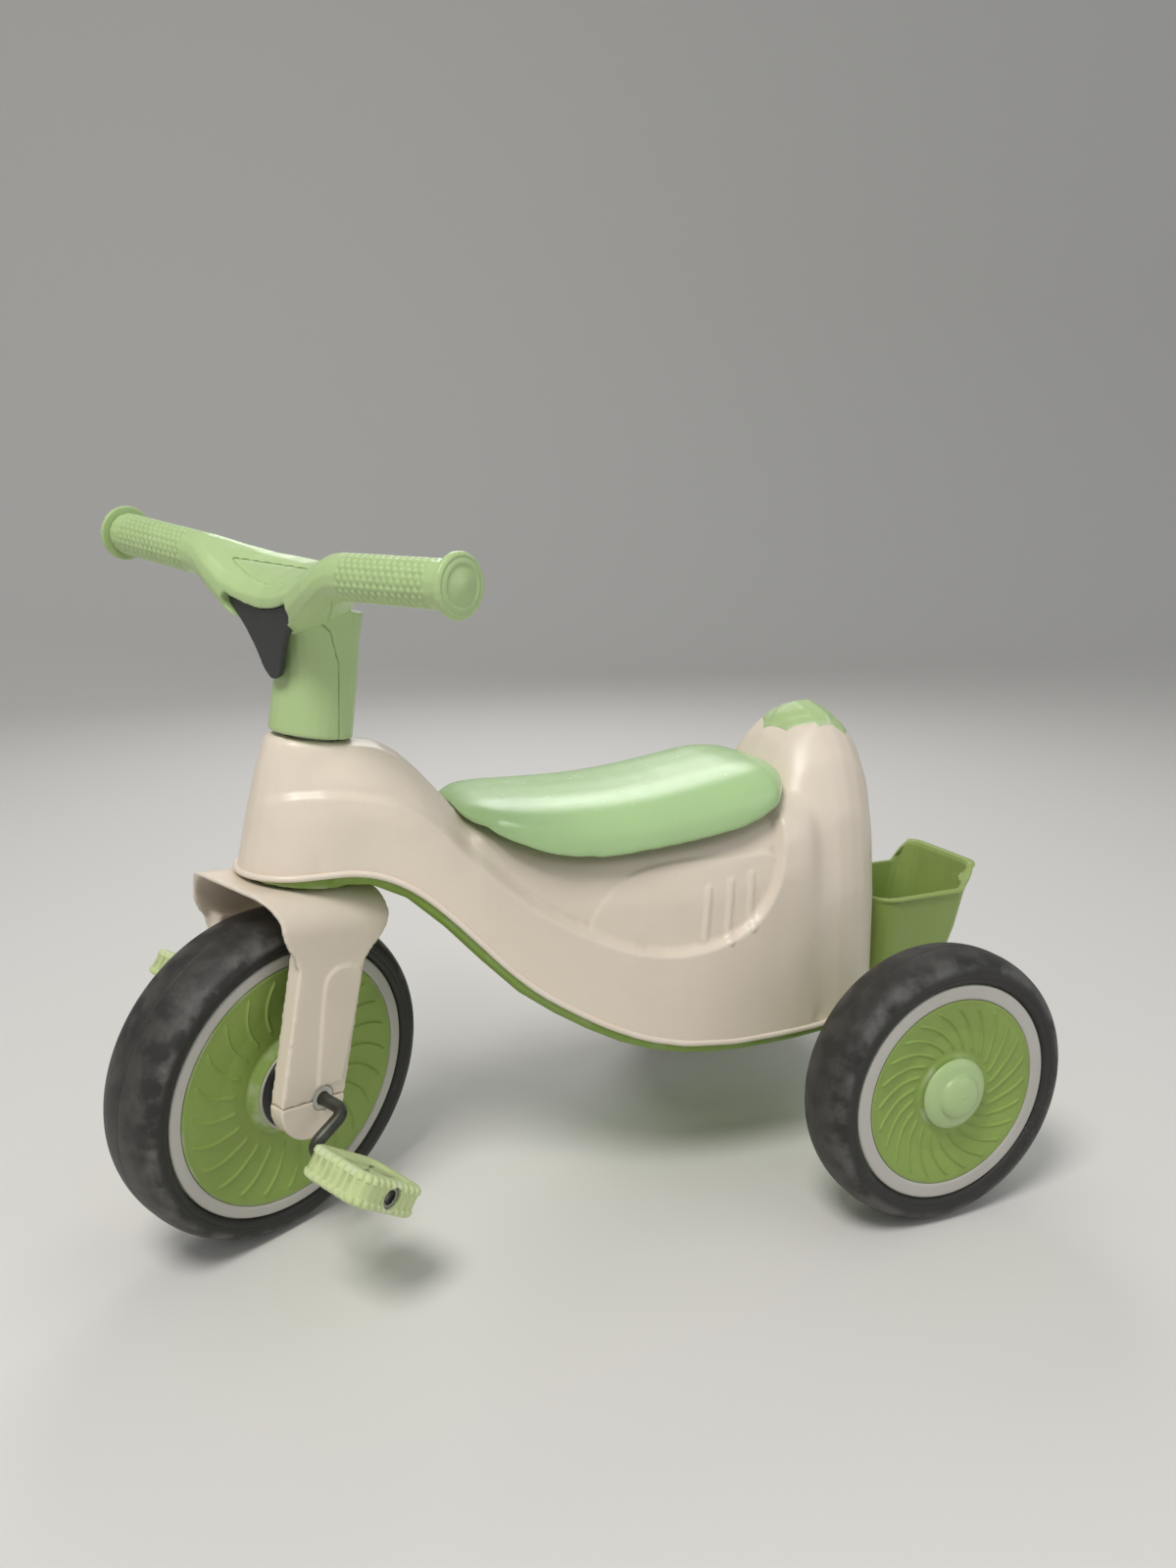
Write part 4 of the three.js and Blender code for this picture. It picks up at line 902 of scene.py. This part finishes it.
def rearHubPiece(side, sign):
    at, radius, height = rearCap["at"], rearCap["radius"], rearCap["height"]
    outer = [(radius, at), (radius, at + 1.8), (radius - 1.2, at + 3), (radius - 4, at + 4.8),
             (17.6, at + 6), (16.4, at + 6.4), (15.6, at + 8.2), (13.6, at + 10), (10, at + height - 1),
             (5, at + height - 0.2), (0.02, at + height)]
    inner = [(0.02, at + height - 2.2), (9, at + height - 3), (13, at + 6), (13, at)]
    dome = turned(cornersCut(outer + inner, 2), rearPlaces[side], sign, rearCap["steps"])
    addPiece(f"rear_hub_cap_{side}_dome", dome, "rear_wheel_" + side, "green", ["rear_hub_cap_" + side])


for side, sign in sides:
    frontHubPieces(side, sign)
    rearHubPiece(side, sign)
print("hubs made")

# crank and pedals
crank = {
    "radius": 4.5, "tipRadius": 3.7, "throw": 32.4, "angle": math.radians(37), "arm": 79, "end": 152.75,
    "bend": 9, "step": 2,
}


def bentPath(corners, bend):
    corners = [np.array(corner, float) for corner in corners]
    path = [corners[0]]
    for before, corner, after in zip(corners, corners[1:], corners[2:]):
        back = (before - corner) / np.linalg.norm(before - corner)
        ahead = (after - corner) / np.linalg.norm(after - corner)
        start, end = corner + back * bend, corner + ahead * bend
        for t in np.linspace(0, 1, 11):
            path.append(start * (1 - t) ** 2 + 2 * corner * t * (1 - t) + end * t * t)
    path.append(corners[-1])
    fine = [path[0]]
    for start, end in zip(path, path[1:]):
        count = max(1, int(np.linalg.norm(end - start) / crank["step"]))
        fine.extend(start + (end - start) * (k + 1) / count for k in range(count))
    return np.array(fine)


def crankMesh():
    across, down = crank["throw"] * math.cos(crank["angle"]), -crank["throw"] * math.sin(crank["angle"])
    arm, end = crank["arm"], crank["end"]
    stops = [(-1, -end), (-1, -arm), (0, -arm), (0, arm), (1, arm), (1, end)]
    path = bentPath([(share * across, y, share * down) for share, y in stops], crank["bend"])
    radii = np.full(len(path), crank["radius"])
    radii[[0, -1]] = crank["tipRadius"]
    return swept(path, radii, steerPlace, 24)


addPiece("crankshaft_rod", crankMesh(), "front_wheel", "crank_steel", ["crankshaft"])

pedal = {
    "length": 65, "width": 55.5, "corner": 14, "pitch": 6, "tooth": 1.3, "bore": 4.9, "nutHole": 7.3,
    "nutDepth": 6, "past": 40, "dust": 0.25,
    # height above the middle, inset from the outline, share of the tooth depth
    "levels": [(10.25, 6, 0), (10.25, 3.4, 0.4), (9.7, 1.8, 1), (8.6, 0.4, 1), (6.2, 0, 1), (5.4, 0.1, 0.9),
               (4.8, 1.0, 0), (0, 1.2, 0)],
    "dimple": [(10.25, 8), (10.0, 9.5), (9.0, 11.5), (8.5, 14), (8.4, 18)],
}


def pedalOutline():  # points round the plan, with the distance run along it
    halfX, halfY, corner = pedal["length"] / 2, pedal["width"] / 2, pedal["corner"]
    around = []
    for quarter, (cx, cy) in enumerate(((1, -1), (1, 1), (-1, 1), (-1, -1))):
        for t in np.linspace(0, 1, 14):
            angle = math.pi / 2 * (quarter - 1 + t)
            around.append((cx * (halfX - corner) + corner * math.cos(angle),
                           cy * (halfY - corner) + corner * math.sin(angle)))
    around = np.array(around)
    ends = np.roll(around, -1, axis=0)
    runs = np.concatenate([[0], np.cumsum(np.linalg.norm(ends - around, axis=1))])
    total = runs[-1]
    teeth = round(total / pedal["pitch"])
    spots = np.linspace(0, total, teeth * 10, endpoint=False)
    loop = np.vstack([around, around[:1]])
    outline = np.stack([np.interp(spots, runs, loop[:, 0]), np.interp(spots, runs, loop[:, 1])], 1)
    way = np.roll(outline, -1, axis=0) - np.roll(outline, 1, axis=0)
    way /= np.linalg.norm(way, axis=1)[:, None]
    inward = np.stack([-way[:, 1], way[:, 0]], 1)
    tooth = pedal["tooth"] * (0.5 + 0.5 * np.cos(2 * math.pi * teeth * spots / total)) ** 2
    return outline, inward, tooth


def pedalMesh(place, sign):
    outline, inward, tooth = pedalOutline()
    stack = pedal["levels"] + [(-z, inset, share) for z, inset, share in reversed(pedal["levels"][:-1])]
    dimple = [(z, inset, 0) for z, inset in pedal["dimple"]]
    stack = list(reversed(dimple)) + stack + [(-z, inset, share) for z, inset, share in dimple]
    rings = []
    for z, inset, share in stack:
        flat = outline + inward * (inset + share * tooth)[:, None]
        rings.append(np.column_stack([flat[:, 0], sign * flat[:, 1], np.full(len(flat), z)]))
    return ringSkin(rings, place)


def boredOut(mesh, place, holes):  # holes are (radius, from, to) along the place's left axis
    work = linked("work", mesh)
    tools = []
    for radius, start, end in holes:
        turn = np.linspace(0, 2 * math.pi, 48, endpoint=False)
        ring = np.stack([radius * np.cos(turn), 0 * turn, radius * np.sin(turn)], 1)
        tool = linked("tool", ringSkin([ring + (0, start, 0), ring + (0, end, 0)], place))
        bore = work.modifiers.new("bore", "BOOLEAN")
        bore.operation, bore.object, bore.solver = "DIFFERENCE", tool, "EXACT"
        tools.append(tool)
    result = evaluated(work)
    for thing in tools + [work]:
        bpy.data.objects.remove(thing)
    return result


for side, sign in sides:
    past, nutFrom = pedal["past"], pedal["width"] / 2 - pedal["nutDepth"]
    holes = [(pedal["bore"], -past, past), (pedal["nutHole"], sign * nutFrom, sign * past)]
    block = boredOut(pedalMesh(pedalPlaces[side], sign), pedalPlaces[side], holes)
    keepValues(block, "dust", np.full(len(block.vertices), pedal["dust"]))
    addPiece(f"pedal_{side}_block", block, "pedal_" + side, "pedal_green", ["pedal_" + side], crisp=38)
print("crank and pedals made")

# carried-over metal and nylon pieces
edgeBevel = {"width": 0.35, "segments": 2, "angle": math.radians(35), "weld": 0.005}
carried = {
    "axle_steel": ["tray_screw_1", "tray_screw_2", "tray_screw_3", "tray_screw_4", "rear_axle",
                   "axle_washer_left", "axle_washer_right", "axle_nut_left", "axle_nut_right",
                   "fork_cap_screw_left", "fork_cap_screw_right", "steering_column", "column_bolt",
                   "stem_screw", "pedal_nut_left", "pedal_nut_right"],
    "bush_white": ["steering_bush_upper", "steering_bush_lower", "crank_bush_left", "crank_bush_right",
                   "rear_wheel_bush_left", "rear_wheel_bush_right"],
}
for finish, nodes in carried.items():
    for node in nodes:
        item = frame["nodes"][node]
        item.data.materials.clear()
        item.data.materials.append(finishes[finish])
        weld = item.modifiers.new("weld", "WELD")
        weld.merge_threshold = edgeBevel["weld"] * mm
        bevel = item.modifiers.new("bevel", "BEVEL")
        bevel.width, bevel.segments = edgeBevel["width"] * mm, edgeBevel["segments"]
        bevel.limit_method, bevel.angle_limit = "ANGLE", edgeBevel["angle"]
print("carried-over pieces finished")

# floor, light and camera; the floor curves up into a wall
sweep = {"half": 7.0, "front": 7.0, "wallAt": -2.6, "bend": 1.6, "height": 7.0, "under": 0.0002}


def sweepPoints():
    turn = np.linspace(0, math.pi / 2, 20)
    line = [(sweep["front"], 0)]
    wall, bend = sweep["wallAt"], sweep["bend"]
    line += [(wall - bend * math.sin(t), bend * (1 - math.cos(t))) for t in turn]
    line.append((wall - bend, sweep["height"]))
    return [(x, y, z) for y, z in line for x in (-sweep["half"], sweep["half"])]


floorMesh = bpy.data.meshes.new("floor")
floorPoints = sweepPoints()
floorMesh.from_pydata(floorPoints, [], gridFaces(len(floorPoints) // 2, 2, columnsClose=False))
floorMesh.shade_smooth()
floor = linked("floor", floorMesh)
floor.location.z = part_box("front_tyre")[0].z - sweep["under"]
floorPaint = bpy.data.materials.new("floorPaint")
floorPaint.use_nodes = True
floorShader = floorPaint.node_tree.nodes["Principled BSDF"]
floorShader.inputs["Base Color"].default_value = paint(226, 224, 220)
floorShader.inputs["Roughness"].default_value = 0.75
floorMesh.materials.append(floorPaint)

world = bpy.data.worlds.new("studio")
bpy.context.scene.world = world
world.use_nodes = True
world.node_tree.nodes["Background"].inputs["Color"].default_value = paint(236, 238, 240)
world.node_tree.nodes["Background"].inputs["Strength"].default_value = 0.42


def softLight(name, spot, aim, size, power, tint):
    lamp = bpy.data.lights.new(name, "AREA")
    lamp.shape, lamp.size, lamp.energy, lamp.color = "DISK", size, power, tint
    holder = linked(name, lamp)
    holder.location = spot
    holder.rotation_euler = (Vector(aim) - Vector(spot)).to_track_quat("-Z", "Y").to_euler()


centre = (0.02, 0, 0.22)
softLight("keyLight", (0.9, 0.9, 2.1), centre, 0.8, 30, (1, 0.98, 0.95))
softLight("fillLight", (-1.6, 1.6, 1.0), centre, 1.6, 6, (0.95, 0.97, 1))
softLight("backLight", (-0.6, -1.7, 1.6), centre, 1.2, 12, (1, 1, 1))

camera = {"spot": (0.32729, 0.79356, 0.49451), "yaw": math.radians(22.823), "pitch": math.radians(12.631),
          "lens": 27.06}


def addCamera():
    yaw, pitch = camera["yaw"], camera["pitch"]
    ahead = Vector((-math.sin(yaw) * math.cos(pitch), -math.cos(yaw) * math.cos(pitch), -math.sin(pitch)))
    right = ahead.cross(Vector((0, 0, 1))).normalized()
    up = right.cross(ahead)
    eye = linked("camera", bpy.data.cameras.new("camera"))
    eye.data.lens, eye.data.clip_start = camera["lens"], 0.01
    facing = Matrix((right, up, -ahead)).transposed().to_4x4()
    eye.matrix_world = Matrix.Translation(camera["spot"]) @ facing
    bpy.context.scene.camera = eye


addCamera()
bpy.context.scene.view_settings.view_transform = "Standard"
print("stage set")
